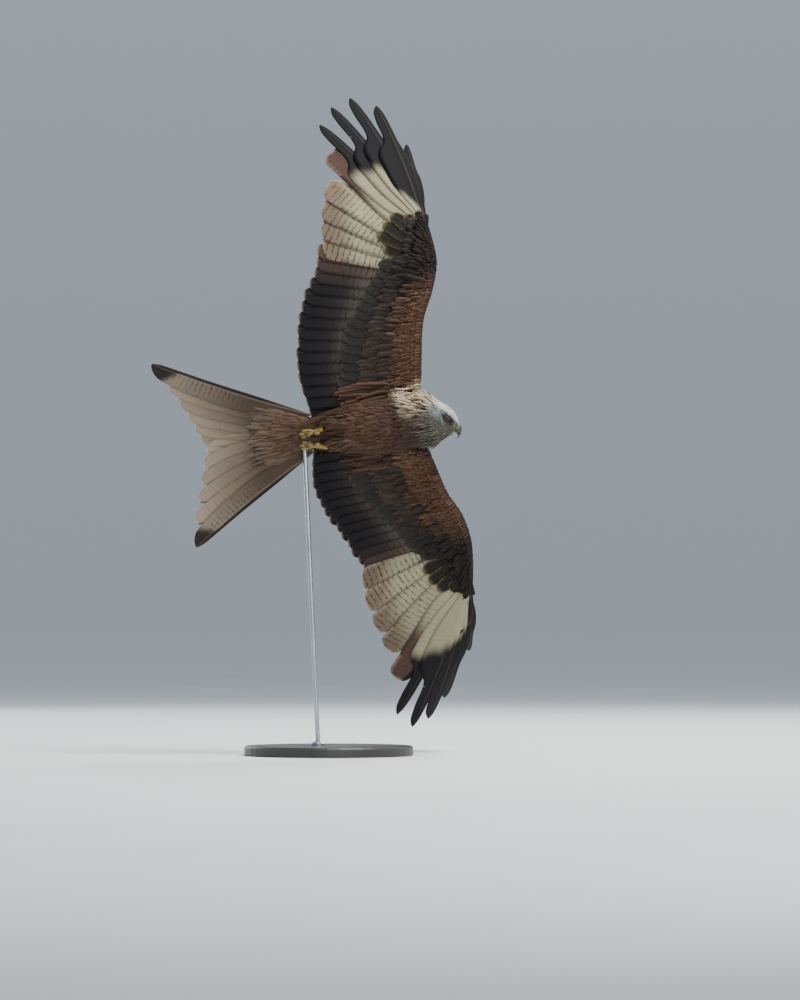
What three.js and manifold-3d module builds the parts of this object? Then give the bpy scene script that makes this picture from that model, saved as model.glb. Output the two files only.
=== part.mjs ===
// A red kite banking in soaring flight, life size, held by a plain display stand.
// Units are millimetres and +Z is up. The origin is the middle of the base's underside.
// The bird is built in its own frame, +X to the bill, +Y to the left wing and +Z to the back,
// and is then banked, pitched and lifted as one group.

import * as THREE from 'three';
import { mergeVertices } from 'three/addons/utils/BufferGeometryUtils.js';
import Module from 'manifold-3d';

const wasm = await Module();
wasm.setup();

// Clearance between neighbouring pieces.
const GAP = 0.3;
// Corners nearer to each other than this are one corner.
const WELD = 0.02;

// How the bird hangs in the air: right wing up, belly to the viewer, bill a little up.
const FLIGHT = { bank: 80.5, pitch: 6.4, forward: 70, height: 736 };

const STAND = {
  baseRadius: 190, baseThickness: 22, baseBevel: 4,
  rodRadius: 5, rodFootX: -24, rodSides: 16,
  collarRadius: 17, collarHeight: 9,
  socketX: -128, socketY: 20, socketZ: -4,
};

const COLOURS = {
  bodyFeather: '#6e4326', neckFeather: '#a08260', headFeather: '#b9b3a6', flightFeather: '#2a2522',
  tailFeather: '#a3714a', bill: '#2b2b2d', cere: '#d8b23c', skin: '#d2a52f', iris: '#d9c98a',
  base: '#33312f', steel: '#b9bcbf',
};

// Torso rings: station x, middle y, middle z, half width, half depth.
const TORSO = [
  [-156, 0, 9, 17, 10],
  [-136, 0, 8, 27, 18],
  [-104, 0, 4, 39, 30],
  [-62, 0, -1, 50, 42],
  [-12, 0, -6, 59, 52],
  [42, 0, -8, 63, 57],
  [92, 0, -4, 63, 54],
  [130, 2, 2, 60, 47],
];
const NECK = [
  [130, 2, 2, 60, 47],
  [150, 2, 5, 60, 42],
  [168, 3.5, 7, 56, 36],
  [184, 5.2, 8, 45.8, 26.5],
  [196, 8.2, 8, 37.4, 17],
  [205, 17, 8, 25, 12],
  [210, 27, 8, 11.5, 6],
];
const BODY_SIDES = 22;

// The head keeps level while the body banks, so it is turned on the neck: `nod` is the
// angle from the body's axis to the bill, towards the left wing, about the bird's height.
const HEAD = { x: 193, y: -2, z: 8, nod: 46 };

// Head rings in the head's frame: station forward, middle up, half width, half height.
const SKULL = [
  [-47, -5, 9, 11],
  [-38, -6, 16.5, 20],
  [-22, -5, 22.5, 26],
  [-8, -3.5, 23, 27],
  [6, -0.5, 20.5, 23.5],
  [17, 0.6, 16.5, 19.6],
  [26, -0.2, 12.4, 15.2],
  [33, -1.8, 9.2, 11.8],
];
const SKULL_SIDES = 20;

const EYE = { forward: 2, side: 14.8, up: 2, radius: 7.2, dish: [11.5, 5.2, 8.6], dishSide: 23.6 };
const LID = { radius: 6.5, thickness: 1.15, side: 18.9 };
const BROW = { forward: 4, side: 20.2, up: 9.4, size: [14, 3.4, 2.4], slope: 12 };
const GAPE = { back: 9, front: 33.6, up: -7.6, thickness: 0.9, depth: 2.2 };

// Bill rings: top forward, top up, bottom forward, bottom up, half width.
const UPPER_BILL = [
  [33.3, 10, 33.3, -6.4, 8.8],
  [39, 9.6, 38.6, -6.1, 8.0],
  [45, 6.2, 43.4, -6.3, 6.3],
  [49.8, 0.2, 46.8, -8, 4.5],
  [52.4, -6.8, 49.2, -11, 3.0],
  [53.2, -13.4, 51.2, -15, 1.8],
  [52.6, -19.6, 52.0, -19.2, 0.5],
];
const LOWER_BILL = [
  [33.3, -7.0, 33.3, -13.4, 7.6],
  [39.6, -6.7, 39.6, -13.0, 6.2],
  [44.4, -7.4, 44.2, -12.4, 4.2],
  [47.4, -9.4, 47.2, -11.9, 2.2],
];
const NOSTRIL = { forward: 40.6, side: 8.2, up: 3.6, size: [2.6, 2.6, 1.3], tilt: 28 };

const THIGH = { x: -46, y: 25, z: -41, size: [40, 20, 17], lean: 10 };
const FEET = {
  left: { ankle: [-74, 31, -42.5], heel: [-102, 24, -41.5], fist: [-136, 19, -34] },
  right: { ankle: [-70, -16, -45.5], heel: [-100, -9, -43], fist: [-134, -6, -35] },
};
const FOOT = { shank: 5.2, toe: 3.1, claw: 2.1, spread: 5.2, curl: 9, clawLength: 15, sides: 6 };

// The tail fan: feathers 1 to 6 on each side of the middle, longest outside for the fork.
const TAIL = {
  rootX: -108, rootZ: 9, rootHalf: 42, rootDepth: 12, endDepth: 4, rootDrop: -0.8,
  middle: -1.2, turn: -8, right: { fan: 23, lengths: [246, 259, 276, 298, 327, 374] },
  left: { fan: 34, lengths: [236, 249, 265, 286, 314, 344] },
  widths: [42, 46, 46, 46, 46, 44], lead: 0.34, outerLead: 0.2,
  coreFrom: -112, coreTo: -176, coreHalf: [34, 50], droop: 0.00016,
};
const TAIL_COVERTS = { count: 3, rootX: -118, length: 106, shorter: 20, lead: 19, trail: 21, level: 5.6 };

// Both wings share their feather lengths. The plan (x, reach) is the wing laid flat, and
// `bend` lifts it: the slope in degrees at each reach from the bird's middle.
const PRIMARY = {
  lengths: [250, 258, 268, 290, 334, 420, 446, 432, 370, 226],
  fingers: 6,
  width: 64, outerWidth: 40, leadShare: 0.27, rootSpread: 8,
};
const WINGS = {
  left: {
    side: 1,
    bend: [[0, 4], [60, 8], [250, 9], [340, 12], [450, 19], [600, 28], [760, 36], [900, 40]],
    front: [[118, 20], [150, 66], [161, 100], [184, 176], [212, 232], [225, 290], [224, 345], [216, 412],
      [209, 436]],
    wrist: [212, 318], handTip: [208, 416],
    rootRow: [[198, 306], [146, 226], [96, 148], [76, 50]],
    trailing: [[-20, 354], [-42, 305], [-72, 240], [-110, 165], [-122, 115], [-112, 46]],
    fan: [79, 68, 56, 44.5, 33, 28, 22, 17, 13, 4],
    rise: [0, 0, 0, 0, 0, 0, 0, 4, 8, 16],
    reach: [1, 1, 1, 0.98, 1, 1.01, 1, 1.01, 1.02, 1],
  },
  right: {
    side: -1,
    bend: [[0, 4], [60, 8], [250, 9], [340, 15], [450, 26], [600, 40], [760, 52], [900, 56]],
    front: [[118, 20], [148, 70], [156, 120], [172, 222], [199, 286], [216, 345], [214, 392], [204, 452],
      [199, 474]],
    wrist: [203, 352], handTip: [197, 450],
    rootRow: [[190, 340], [134, 244], [92, 158], [74, 52]],
    trailing: [[-49, 410], [-66, 362], [-98, 292], [-123, 200], [-126, 150], [-112, 48]],
    fan: [73, 65, 57, 48, 35, 32, 25, 18.5, 12.3, 5],
    rise: [0, 0, 0, 0, 0, 0, 0, 0, 0, 3],
    reach: [1, 1, 1, 0.97, 0.99, 0.965, 0.97, 1, 1, 1],
  },
};
const WING = {
  shoulderZ: 18, camber: 22, camberFrom: 130, camberSpan: 250,
  armDepth: 19, handDepth: 15, tipDepth: 8, armTail: 26, handTail: 14,
  secondaries: 13, secondaryWidth: 47,
};
const COVERTS = {
  greater: { arm: 7, hand: 4, level: 4.8, forward: 0, armLength: 0.46, handLength: 0.36, width: 50 },
  median: { arm: 5, hand: 2, level: 7.8, forward: 14, armLength: 0.27, handLength: 0.2, width: 60 },
};
const ALULA = { feathers: 3, length: 92, width: 17, level: 6.5 };

// A vane is a thin strip that slopes across its shaft, so that neighbours lie over one
// another like shingles: the trailing edge of each is nearer to the belly side.
const VANE = { thickness: 0.54, quill: 1.2, slope: 0.05 };

// Vane outlines: how far along, then the share of the leading and of the trailing width.
const BROAD = [[0, 0.2, 0.12], [0.16, 0.55, 0.4], [0.42, 1, 1], [0.93, 0.88, 0.92], [1, 0.35, 0.5]];
const FINGER = [[0, 0.2, 0.08], [0.12, 0.4, 0.25], [0.32, 1, 0.8], [0.5, 1, 1], [0.6, 0.62, 0.98],
  [0.68, 0.5, 0.46], [0.92, 0.46, 0.38], [1, 0.14, 0.12]];
const TAPER = [[0, 0.2, 0.1], [0.1, 0.5, 0.4], [0.35, 1, 0.95], [0.7, 1, 1], [0.9, 0.8, 0.75], [1, 0.2, 0.2]];
const SHORT = [[0, 0.3, 0.3], [0.4, 1, 1], [0.82, 0.85, 0.85], [1, 0.25, 0.25]];

const radians = THREE.MathUtils.degToRad;
const mix = THREE.MathUtils.lerp;

// A smooth row of values at `key` through rows whose first number is their key.
function smoothRow(rows, key) {
  let i = rows.findIndex((row) => row[0] > key) - 1;
  if (i === -2) i = rows.length - 2;
  i = Math.max(0, i);
  const [a, b] = [rows[i], rows[i + 1]];
  const before = rows[Math.max(0, i - 1)];
  const after = rows[Math.min(rows.length - 1, i + 2)];
  const span = b[0] - a[0];
  const t = THREE.MathUtils.clamp((key - a[0]) / span, 0, 1);
  return a.map((value, k) => {
    if (k === 0) return key;
    const m0 = (b[k] - before[k]) / (b[0] - before[0]) * span;
    const m1 = (after[k] - a[k]) / (after[0] - a[0]) * span;
    return (2 * t ** 3 - 3 * t ** 2 + 1) * value + (t ** 3 - 2 * t ** 2 + t) * m0
      + (3 * t ** 2 - 2 * t ** 3) * b[k] + (t ** 3 - t ** 2) * m1;
  });
}

// A point on a plan curve, with `at` from 0 to 1 along it.
function planPoint(points, at) {
  const curve = new THREE.CatmullRomCurve3(points.map(([x, reach]) => new THREE.Vector3(x, reach, 0)));
  const p = curve.getPointAt(THREE.MathUtils.clamp(at, 0, 1));
  return [p.x, p.y];
}

// The x of a plan curve at one reach.
function planX(points, reach) {
  const rows = points.map(([x, r]) => [r, x]).sort((p, q) => p[0] - q[0]);
  return smoothRow(rows, THREE.MathUtils.clamp(reach, rows[0][0], rows.at(-1)[0]))[1];
}

function geometryFrom(vertices, triangles) {
  const geometry = new THREE.BufferGeometry();
  geometry.setAttribute('position', new THREE.Float32BufferAttribute(vertices.flatMap((v) => v.toArray()), 3));
  geometry.setIndex(triangles);
  return geometry;
}

// A closed skin through rings of equal count, with a fan of triangles over each end.
function loft(rings) {
  const count = rings[0].length;
  const vertices = rings.flat();
  const triangles = [];
  for (let r = 0; r + 1 < rings.length; r += 1) {
    for (let k = 0; k < count; k += 1) {
      const next = (k + 1) % count;
      const [a, b, c, d] = [r * count + k, r * count + next, (r + 1) * count + next, (r + 1) * count + k];
      triangles.push(a, b, c, a, c, d);
    }
  }
  for (const [ring, flip] of [[0, true], [rings.length - 1, false]]) {
    const middle = new THREE.Vector3();
    rings[ring].forEach((v) => middle.addScaledVector(v, 1 / count));
    const hub = vertices.push(middle) - 1;
    for (let k = 0; k < count; k += 1) {
      const [a, b] = [ring * count + k, ring * count + (k + 1) % count];
      triangles.push(hub, flip ? b : a, flip ? a : b);
    }
  }
  return geometryFrom(vertices, triangles);
}

function ellipse(middle, across, up, count) {
  return Array.from({ length: count }, (_, k) => {
    const angle = (k / count) * 2 * Math.PI;
    return middle.clone().addScaledVector(across, Math.cos(angle)).addScaledVector(up, Math.sin(angle));
  });
}

// A round tube through points, with a radius at each.
function tube(points, radii, sides) {
  const curve = new THREE.CatmullRomCurve3(points.map((p) => new THREE.Vector3(...p)));
  const frames = curve.computeFrenetFrames(points.length - 1, false);
  const rings = points.map((_, i) => {
    const middle = curve.getPoint(i / (points.length - 1));
    return ellipse(middle, frames.normals[i].clone().multiplyScalar(radii[i]),
      frames.binormals[i].clone().multiplyScalar(radii[i]), sides);
  });
  return loft(rings);
}

// A closed geometry as a solid, turned right side out if it came mirrored.
function solid(geometry, matrix = new THREE.Matrix4()) {
  const bare = geometry.clone().applyMatrix4(matrix);
  bare.deleteAttribute('normal');
  bare.deleteAttribute('uv');
  const merged = mergeVertices(bare, 1e-4);
  const at = merged.getAttribute('position').array;
  const index = Uint32Array.from(merged.index.array);
  let volume = 0;
  const corner = (i) => new THREE.Vector3().fromArray(at, index[i] * 3);
  for (let i = 0; i < index.length; i += 3) {
    volume += corner(i).dot(corner(i + 1).cross(corner(i + 2)));
  }
  if (volume < 0) {
    for (let i = 0; i < index.length; i += 3) [index[i], index[i + 1]] = [index[i + 1], index[i]];
  }
  return new wasm.Manifold(new wasm.Mesh({
    numProp: 3, vertProperties: Float32Array.from(at), triVerts: index, tolerance: WELD,
  }));
}

const fuse = (solids) => solids.reduce((whole, piece) => whole.add(piece));

// The largest closed body of a solid, so that no scrap or sealed hollow stays.
function largest(body) {
  return body.decompose().sort((a, b) => b.volume() - a.volume())[0];
}

function toGeometry(body) {
  const mesh = body.getMesh();
  const geometry = new THREE.BufferGeometry();
  geometry.setAttribute('position', new THREE.BufferAttribute(Float32Array.from(mesh.vertProperties), 3));
  geometry.setIndex(Array.from(mesh.triVerts));
  return geometry;
}

function piece(name, body, color, roughness = 0.8, metalness = 0) {
  const geometry = toGeometry(largest(body));
  geometry.computeVertexNormals();
  const mesh = new THREE.Mesh(geometry, new THREE.MeshStandardMaterial({ color, roughness, metalness }));
  mesh.name = name;
  return mesh;
}

// Body rings from rows of x, middle y, middle z, half width and half depth.
function bodyLoft(rows, steps, grow = 0) {
  const [first, last] = [rows[0][0] - grow, rows.at(-1)[0] + grow];
  const rings = [];
  for (let i = 0; i <= steps; i += 1) {
    const x = mix(first, last, i / steps);
    const [, y, z, width, depth] = smoothRow(rows, THREE.MathUtils.clamp(x, rows[0][0], rows.at(-1)[0]));
    rings.push(ellipse(new THREE.Vector3(x, y, z), new THREE.Vector3(0, width + grow, 0),
      new THREE.Vector3(0, 0, depth + grow), BODY_SIDES));
  }
  return solid(loft(rings));
}

// The head's frame in the bird's: forward along the bill, left away from the viewer, up to the crown.
function headFrame() {
  const nod = radians(HEAD.nod);
  const forward = new THREE.Vector3(Math.cos(nod), Math.sin(nod), 0);
  const left = new THREE.Vector3(0, 0, 1);
  const up = new THREE.Vector3().crossVectors(forward, left);
  return new THREE.Matrix4().makeBasis(forward, left, up).setPosition(HEAD.x, HEAD.y, HEAD.z);
}

function skullLoft(grow = 0) {
  const [first, last] = [SKULL[0][0] - grow, SKULL.at(-1)[0] + grow];
  const steps = 11;
  const rings = [];
  for (let i = 0; i <= steps; i += 1) {
    const forward = mix(first, last, i / steps);
    const row = smoothRow(SKULL, THREE.MathUtils.clamp(forward, SKULL[0][0], SKULL.at(-1)[0]));
    rings.push(ellipse(new THREE.Vector3(forward, 0, row[1]), new THREE.Vector3(0, row[2] + grow, 0),
      new THREE.Vector3(0, 0, row[3] + grow), SKULL_SIDES));
  }
  return solid(loft(rings));
}

function ball(size, at, turn = [0, 0, 0], widthSegments = 12, heightSegments = 9) {
  const matrix = new THREE.Matrix4().compose(new THREE.Vector3(...at),
    new THREE.Quaternion().setFromEuler(new THREE.Euler(...turn)), new THREE.Vector3(...size));
  return solid(new THREE.SphereGeometry(1, widthSegments, heightSegments), matrix);
}

// The head in its own frame: dished orbits with lids and brows, sockets, and the corner of the mouth.
function head() {
  let body = skullLoft();
  for (const side of [-1, 1]) {
    body = body.subtract(ball(EYE.dish, [EYE.forward, side * EYE.dishSide, EYE.up]));
    const lid = new THREE.TorusGeometry(LID.radius, LID.thickness, 4, 14);
    body = body.add(solid(lid, new THREE.Matrix4().compose(
      new THREE.Vector3(EYE.forward, side * LID.side, EYE.up),
      new THREE.Quaternion().setFromEuler(new THREE.Euler(Math.PI / 2, 0, 0)), new THREE.Vector3(1.08, 1, 1))));
    body = body.add(ball(BROW.size, [BROW.forward, side * BROW.side, BROW.up],
      [0, radians(BROW.slope), -side * radians(BROW.slope)], 12, 6));
    const socket = EYE.radius + GAP;
    body = body.subtract(ball([socket, socket, socket], [EYE.forward, side * EYE.side, EYE.up]));
    const length = GAPE.front - GAPE.back;
    const slit = new THREE.BoxGeometry(length, GAPE.depth * 2, GAPE.thickness);
    const half = smoothRow(SKULL, (GAPE.front + GAPE.back) / 2)[2];
    const inward = Math.atan2(SKULL.at(-1)[2] - smoothRow(SKULL, GAPE.back)[2], length);
    body = body.subtract(solid(slit, new THREE.Matrix4().compose(
      new THREE.Vector3((GAPE.front + GAPE.back) / 2, side * (half * 0.9), GAPE.up),
      new THREE.Quaternion().setFromEuler(new THREE.Euler(0, 0, side * inward)), new THREE.Vector3(1, 1, 1))));
  }
  return body;
}

function billLoft(rows, sides = 14, grow = 0) {
  return loft(rows.map(([topX, topUp, lowX, lowUp, half], i) => {
    const ahead = i === rows.length - 1 ? grow : -grow;
    const top = new THREE.Vector3(topX + ahead, 0, topUp + grow);
    const low = new THREE.Vector3(lowX + ahead, 0, lowUp - grow);
    const middle = top.clone().add(low).multiplyScalar(0.5);
    return ellipse(middle, new THREE.Vector3(0, half + grow, 0), top.sub(low).multiplyScalar(0.5), sides);
  }));
}

function upperBill() {
  let body = solid(billLoft(UPPER_BILL));
  for (const side of [-1, 1]) {
    body = body.subtract(ball(NOSTRIL.size, [NOSTRIL.forward, side * NOSTRIL.side, NOSTRIL.up],
      [0, radians(NOSTRIL.tilt), 0], 10, 6));
  }
  return body;
}

// The wing laid out flat is bent up along its reach and arched from front to back.
class WingSurface {
  constructor({ side, bend }) {
    this.side = side;
    this.bend = bend;
    this.step = 10;
    this.table = [[0, WING.shoulderZ]];
    for (let reach = 0; reach < bend.at(-1)[0]; reach += this.step) {
      const [y, z] = this.table.at(-1);
      const slope = this.slope(reach + this.step / 2);
      this.table.push([y + this.step * Math.cos(slope), z + this.step * Math.sin(slope)]);
    }
  }

  slope(reach) {
    const i = Math.max(1, this.bend.findIndex((row) => row[0] >= reach));
    const [a, b] = [this.bend[i - 1], this.bend[i]];
    return radians(mix(a[1], b[1], THREE.MathUtils.clamp((reach - a[0]) / (b[0] - a[0]), 0, 1)));
  }

  place(x, reach, height) {
    const i = THREE.MathUtils.clamp(Math.floor(reach / this.step), 0, this.table.length - 2);
    const part = reach / this.step - i;
    const slope = this.slope(Math.max(0, reach));
    const back = Math.max(0, WING.camberFrom - x) / WING.camberSpan;
    const flatter = 1 - 0.6 * THREE.MathUtils.smoothstep(reach, 300, 600);
    const lifted = height - WING.camber * back * back * flatter;
    const y = mix(this.table[i][0], this.table[i + 1][0], part) - lifted * Math.sin(slope);
    const z = mix(this.table[i][1], this.table[i + 1][1], part) + lifted * Math.cos(slope);
    return new THREE.Vector3(x, this.side * y, z);
  }
}

// One feather. `aim` is the angle of its chord from straight out towards straight back, and
// `turn` how far the shaft swings back from root to tip, all in degrees.
function vane(place, { root, aim, turn = 0, rise = 0, length, lead, trail, outline, level = 0, rootLevel = level }) {
  const start = radians(aim - turn / 2);
  const swing = radians(turn) + 1e-6;
  const flatLength = length * Math.cos(radians(rise));
  const vertices = [];
  for (const [t, leadShare, trailShare] of outline) {
    const angle = start + swing * t;
    const out = (Math.sin(angle) - Math.sin(start)) / swing * flatLength;
    const back = (Math.cos(start) - Math.cos(angle)) / swing * flatLength;
    const [x, reach] = [root[0] - back, root[1] + out];
    const height = mix(level, rootLevel, (1 - t) ** 2) + length * Math.sin(radians(rise)) * t ** 1.5;
    const half = (VANE.thickness + VANE.quill * (1 - t) ** 6) / 2;
    for (const [side, width] of [[1, lead * leadShare], [-1, trail * trailShare]]) {
      const [px, pr] = [x + side * width * Math.cos(angle), reach + side * width * Math.sin(angle)];
      for (const face of [1, -1]) {
        vertices.push(place(px, pr, height + side * width * VANE.slope + face * half));
      }
    }
  }
  const triangles = [];
  const quad = (a, b, c, d) => triangles.push(a, b, c, a, c, d);
  const [leadTop, leadLow, trailTop, trailLow] = [0, 1, 2, 3];
  for (let i = 0; i + 1 < outline.length; i += 1) {
    const [a, b] = [i * 4, (i + 1) * 4];
    quad(a + leadTop, a + trailTop, b + trailTop, b + leadTop);
    quad(b + trailLow, a + trailLow, a + leadLow, b + leadLow);
    quad(a + trailTop, a + trailLow, b + trailLow, b + trailTop);
    quad(a + leadLow, a + leadTop, b + leadTop, b + leadLow);
  }
  const end = (outline.length - 1) * 4;
  quad(leadTop, leadLow, trailLow, trailTop);
  quad(end + leadTop, end + trailTop, end + trailLow, end + leadLow);
  return solid(geometryFrom(vertices, triangles));
}

// The arm, patagium and hand as one tapering core that the feathers grow from.
function wingCore(wing, surface) {
  const handRow = [[...wing.rootRow[0]], [...wing.wrist], [...wing.handTip]];
  const rootRow = [...wing.rootRow].reverse().concat(handRow.slice(1));
  const last = wing.front.at(-1)[1];
  const first = wing.front[0][1];
  const steps = 10;
  const section = [[0, 0], [0.1, 0.38], [0.4, 0.5], [1, 0.16], [1, -0.16], [0.4, -0.5], [0.1, -0.38]];
  const rings = [];
  for (let i = 0; i <= steps; i += 1) {
    const reach = mix(first, last, i / steps);
    const front = planX(wing.front, reach);
    const out = THREE.MathUtils.smoothstep(reach, wing.wrist[1] - 40, wing.handTip[1]);
    const behind = mix(WING.armTail, WING.handTail, out);
    const rear = Math.min(planX(rootRow, Math.min(reach, wing.handTip[1])) - behind, front - 12);
    const thin = mix(WING.armDepth, WING.handDepth, THREE.MathUtils.smoothstep(reach, 60, wing.wrist[1]));
    const tip = THREE.MathUtils.smoothstep(reach, wing.wrist[1] + 30, last);
    const depth = mix(thin, WING.tipDepth, tip);
    rings.push(section.map(([at, high]) => surface.place(mix(front, rear, at), reach, depth * high)));
  }
  return solid(loft(rings));
}

function primaries(wing, surface) {
  return PRIMARY.lengths.map((length, i) => {
    const at = (i + 0.5) / PRIMARY.lengths.length;
    const finger = i + 1 >= PRIMARY.fingers;
    const width = i === PRIMARY.lengths.length - 1 ? PRIMARY.outerWidth : PRIMARY.width;
    return vane((...p) => surface.place(...p), {
      root: [mix(wing.wrist[0], wing.handTip[0], at), mix(wing.wrist[1], wing.handTip[1], at)],
      aim: wing.fan[i], turn: finger ? 4 : 9, rise: wing.rise[i], length: length * wing.reach[i],
      rootLevel: PRIMARY.rootSpread * (0.5 - at),
      lead: width * PRIMARY.leadShare, trail: width * (1 - PRIMARY.leadShare),
      outline: finger ? FINGER : BROAD,
    });
  });
}

// Heading and length from one plan point to another.
function aimAt([x, reach], [tipX, tipReach]) {
  const length = Math.hypot(tipX - x, tipReach - reach);
  return { aim: THREE.MathUtils.radToDeg(Math.atan2(x - tipX, tipReach - reach)), length };
}

function secondaries(wing, surface) {
  const feathers = [];
  for (let i = 0; i < WING.secondaries; i += 1) {
    const at = i / (WING.secondaries - 1);
    const root = planPoint(wing.rootRow, at);
    const tip = planPoint(wing.trailing, at);
    feathers.push(vane((...p) => surface.place(...p), {
      root, ...aimAt(root, tip), turn: 8,
      lead: WING.secondaryWidth * 0.36, trail: WING.secondaryWidth * 0.64, outline: BROAD,
    }));
  }
  return feathers;
}

// One tier of coverts over the flight feathers' roots, above (face 1) or below (face -1).
function covertTier(wing, surface, tier, face) {
  const place = (...p) => surface.place(...p);
  const shape = {
    lead: tier.width * 0.45, trail: tier.width * 0.55, outline: SHORT,
    level: face * tier.level, rootLevel: face * (tier.level - 1.2),
  };
  const feathers = [];
  for (let i = 0; i < tier.arm; i += 1) {
    const at = (i + 0.5) / tier.arm;
    const [x, reach] = planPoint(wing.rootRow, at);
    const { aim, length } = aimAt([x, reach], planPoint(wing.trailing, at));
    feathers.push(vane(place, { ...shape, root: [x + tier.forward, reach], aim, length: length * tier.armLength }));
  }
  for (let i = 0; i < tier.hand; i += 1) {
    const at = (i + 0.5) / tier.hand;
    const k = Math.min(8, Math.floor(at * 9));
    const narrow = 1 - 0.4 * at;
    feathers.push(vane(place, {
      ...shape, aim: mix(wing.fan[k], wing.fan[k + 1], 0.5), lead: shape.lead * narrow, trail: shape.trail * narrow,
      length: mix(PRIMARY.lengths[k], PRIMARY.lengths[k + 1], 0.5) * tier.handLength,
      root: [mix(wing.wrist[0], wing.handTip[0], at), mix(wing.wrist[1], wing.handTip[1], at * 0.9)],
    }));
  }
  return feathers;
}

function alula(wing, surface) {
  return Array.from({ length: ALULA.feathers }, (_, i) => vane((...p) => surface.place(...p), {
    root: [wing.wrist[0] + 2, wing.wrist[1] + 8 + i * 4], aim: 2 + (ALULA.feathers - i) * 5,
    length: ALULA.length - (ALULA.feathers - 1 - i) * 14, lead: ALULA.width * 0.4, trail: ALULA.width * 0.6,
    outline: SHORT, level: ALULA.level + (ALULA.feathers - i) * -1.1,
  }));
}

function wing(settings, bodyRoom) {
  const surface = new WingSurface(settings);
  const tiers = [1, -1].flatMap((face) => [
    ...covertTier(settings, surface, COVERTS.greater, face),
    ...covertTier(settings, surface, COVERTS.median, face),
  ]);
  const pieces = [wingCore(settings, surface), ...primaries(settings, surface),
    ...secondaries(settings, surface), ...tiers, ...alula(settings, surface)];
  return largest(fuse(pieces).subtract(bodyRoom));
}

// The tail's plan uses the same vanes: straight back is the tail's middle line.
function tail(torsoRoom) {
  const place = (x, y, height) => {
    const spread = Math.abs(y);
    return new THREE.Vector3(x, y, TAIL.rootZ + height - TAIL.droop * spread * spread);
  };
  const coreRings = [];
  for (let i = 0; i <= 5; i += 1) {
    const x = mix(TAIL.coreFrom, TAIL.coreTo, i / 5);
    const half = mix(...TAIL.coreHalf, i / 5);
    coreRings.push(ellipse(place(x, 0, 0), new THREE.Vector3(0, half, 0),
      new THREE.Vector3(0, 0, mix(TAIL.rootDepth, TAIL.endDepth, i / 5)), 16));
  }
  const feathers = [solid(loft(coreRings))];
  for (const side of [-1, 1]) {
    const { fan, lengths } = side < 0 ? TAIL.right : TAIL.left;
    const sidePlace = (x, y, height) => place(x, side * y, height);
    lengths.forEach((length, i) => {
      const at = (i + 0.55) / (lengths.length - 0.45);
      const ahead = i === lengths.length - 1 ? TAIL.outerLead : TAIL.lead;
      const middle = side * TAIL.middle;
      feathers.push(vane(sidePlace, {
        root: [TAIL.rootX - 6 * (1 - at), TAIL.rootHalf * at], aim: 90 - middle - fan * at,
        turn: TAIL.turn * at, length, lead: TAIL.widths[i] * ahead, trail: TAIL.widths[i] * (1 - ahead),
        outline: TAPER, level: i === 0 && side < 0 ? 0.9 : 0, rootLevel: TAIL.rootDrop * i,
      }));
    });
    for (const face of [1, -1]) {
      for (let i = 0; i < TAIL_COVERTS.count; i += 1) {
        const at = (i + 0.6) / TAIL_COVERTS.count;
        feathers.push(vane(sidePlace, {
          root: [TAIL_COVERTS.rootX, TAIL.rootHalf * at], aim: 90 - side * TAIL.middle - fan * at * 0.9,
          length: TAIL_COVERTS.length - TAIL_COVERTS.shorter * at, lead: TAIL_COVERTS.lead,
          trail: TAIL_COVERTS.trail, outline: SHORT, level: face * TAIL_COVERTS.level,
        }));
      }
    }
  }
  return largest(fuse(feathers).subtract(torsoRoom));
}

function thigh(side, grow = 0) {
  return ball(THIGH.size.map((size) => size + grow), [THIGH.x, side * THIGH.y, THIGH.z],
    [0, radians(THIGH.lean), 0]);
}

// A foot drawn back under the tail, with its toes closed.
function foot({ ankle, heel, fist }, side) {
  const pieces = [solid(tube([ankle, heel, fist.map((v, i) => mix(heel[i], v, 0.25))],
    [FOOT.shank, FOOT.shank * 0.92, FOOT.shank * 0.95], FOOT.sides))];
  for (let toe = -1; toe <= 1; toe += 1) {
    const out = toe * FOOT.spread;
    const knuckle = [mix(heel[0], fist[0], 0.62), mix(heel[1], fist[1], 0.62) + out, mix(heel[2], fist[2], 0.62) - 5];
    const end = [fist[0], fist[1] + out * 1.1, fist[2] - 7 + Math.abs(toe)];
    const under = [fist[0] + FOOT.curl, fist[1] + out, fist[2] - 12.5];
    pieces.push(solid(tube([heel, knuckle, end, under], [3.6, FOOT.toe + 0.5, FOOT.toe, FOOT.claw], FOOT.sides)));
    const inside = end.map((v, i) => mix(v, under[i], 0.8));
    const claw = [under[0] + FOOT.clawLength * 0.55, under[1], under[2] + 1.4];
    const point = [under[0] + FOOT.clawLength, under[1], under[2] + 5];
    pieces.push(solid(tube([inside, claw, point], [FOOT.claw * 0.85, 1.3, 0.3], 5)));
  }
  const spur = [heel[0] + 6, heel[1] - side * 4, heel[2] - 8];
  const spurEnd = [heel[0] - 8, heel[1] - side * 4, heel[2] - 11];
  pieces.push(solid(tube([heel, spur, spurEnd], [3.3, FOOT.toe, 0.6], FOOT.sides)));
  return fuse(pieces);
}

function birdMatrix() {
  const turn = new THREE.Euler(radians(-FLIGHT.bank), radians(-FLIGHT.pitch), 0, 'YXZ');
  return new THREE.Matrix4().compose(new THREE.Vector3(FLIGHT.forward, 0, FLIGHT.height),
    new THREE.Quaternion().setFromEuler(turn), new THREE.Vector3(1, 1, 1));
}

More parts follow.
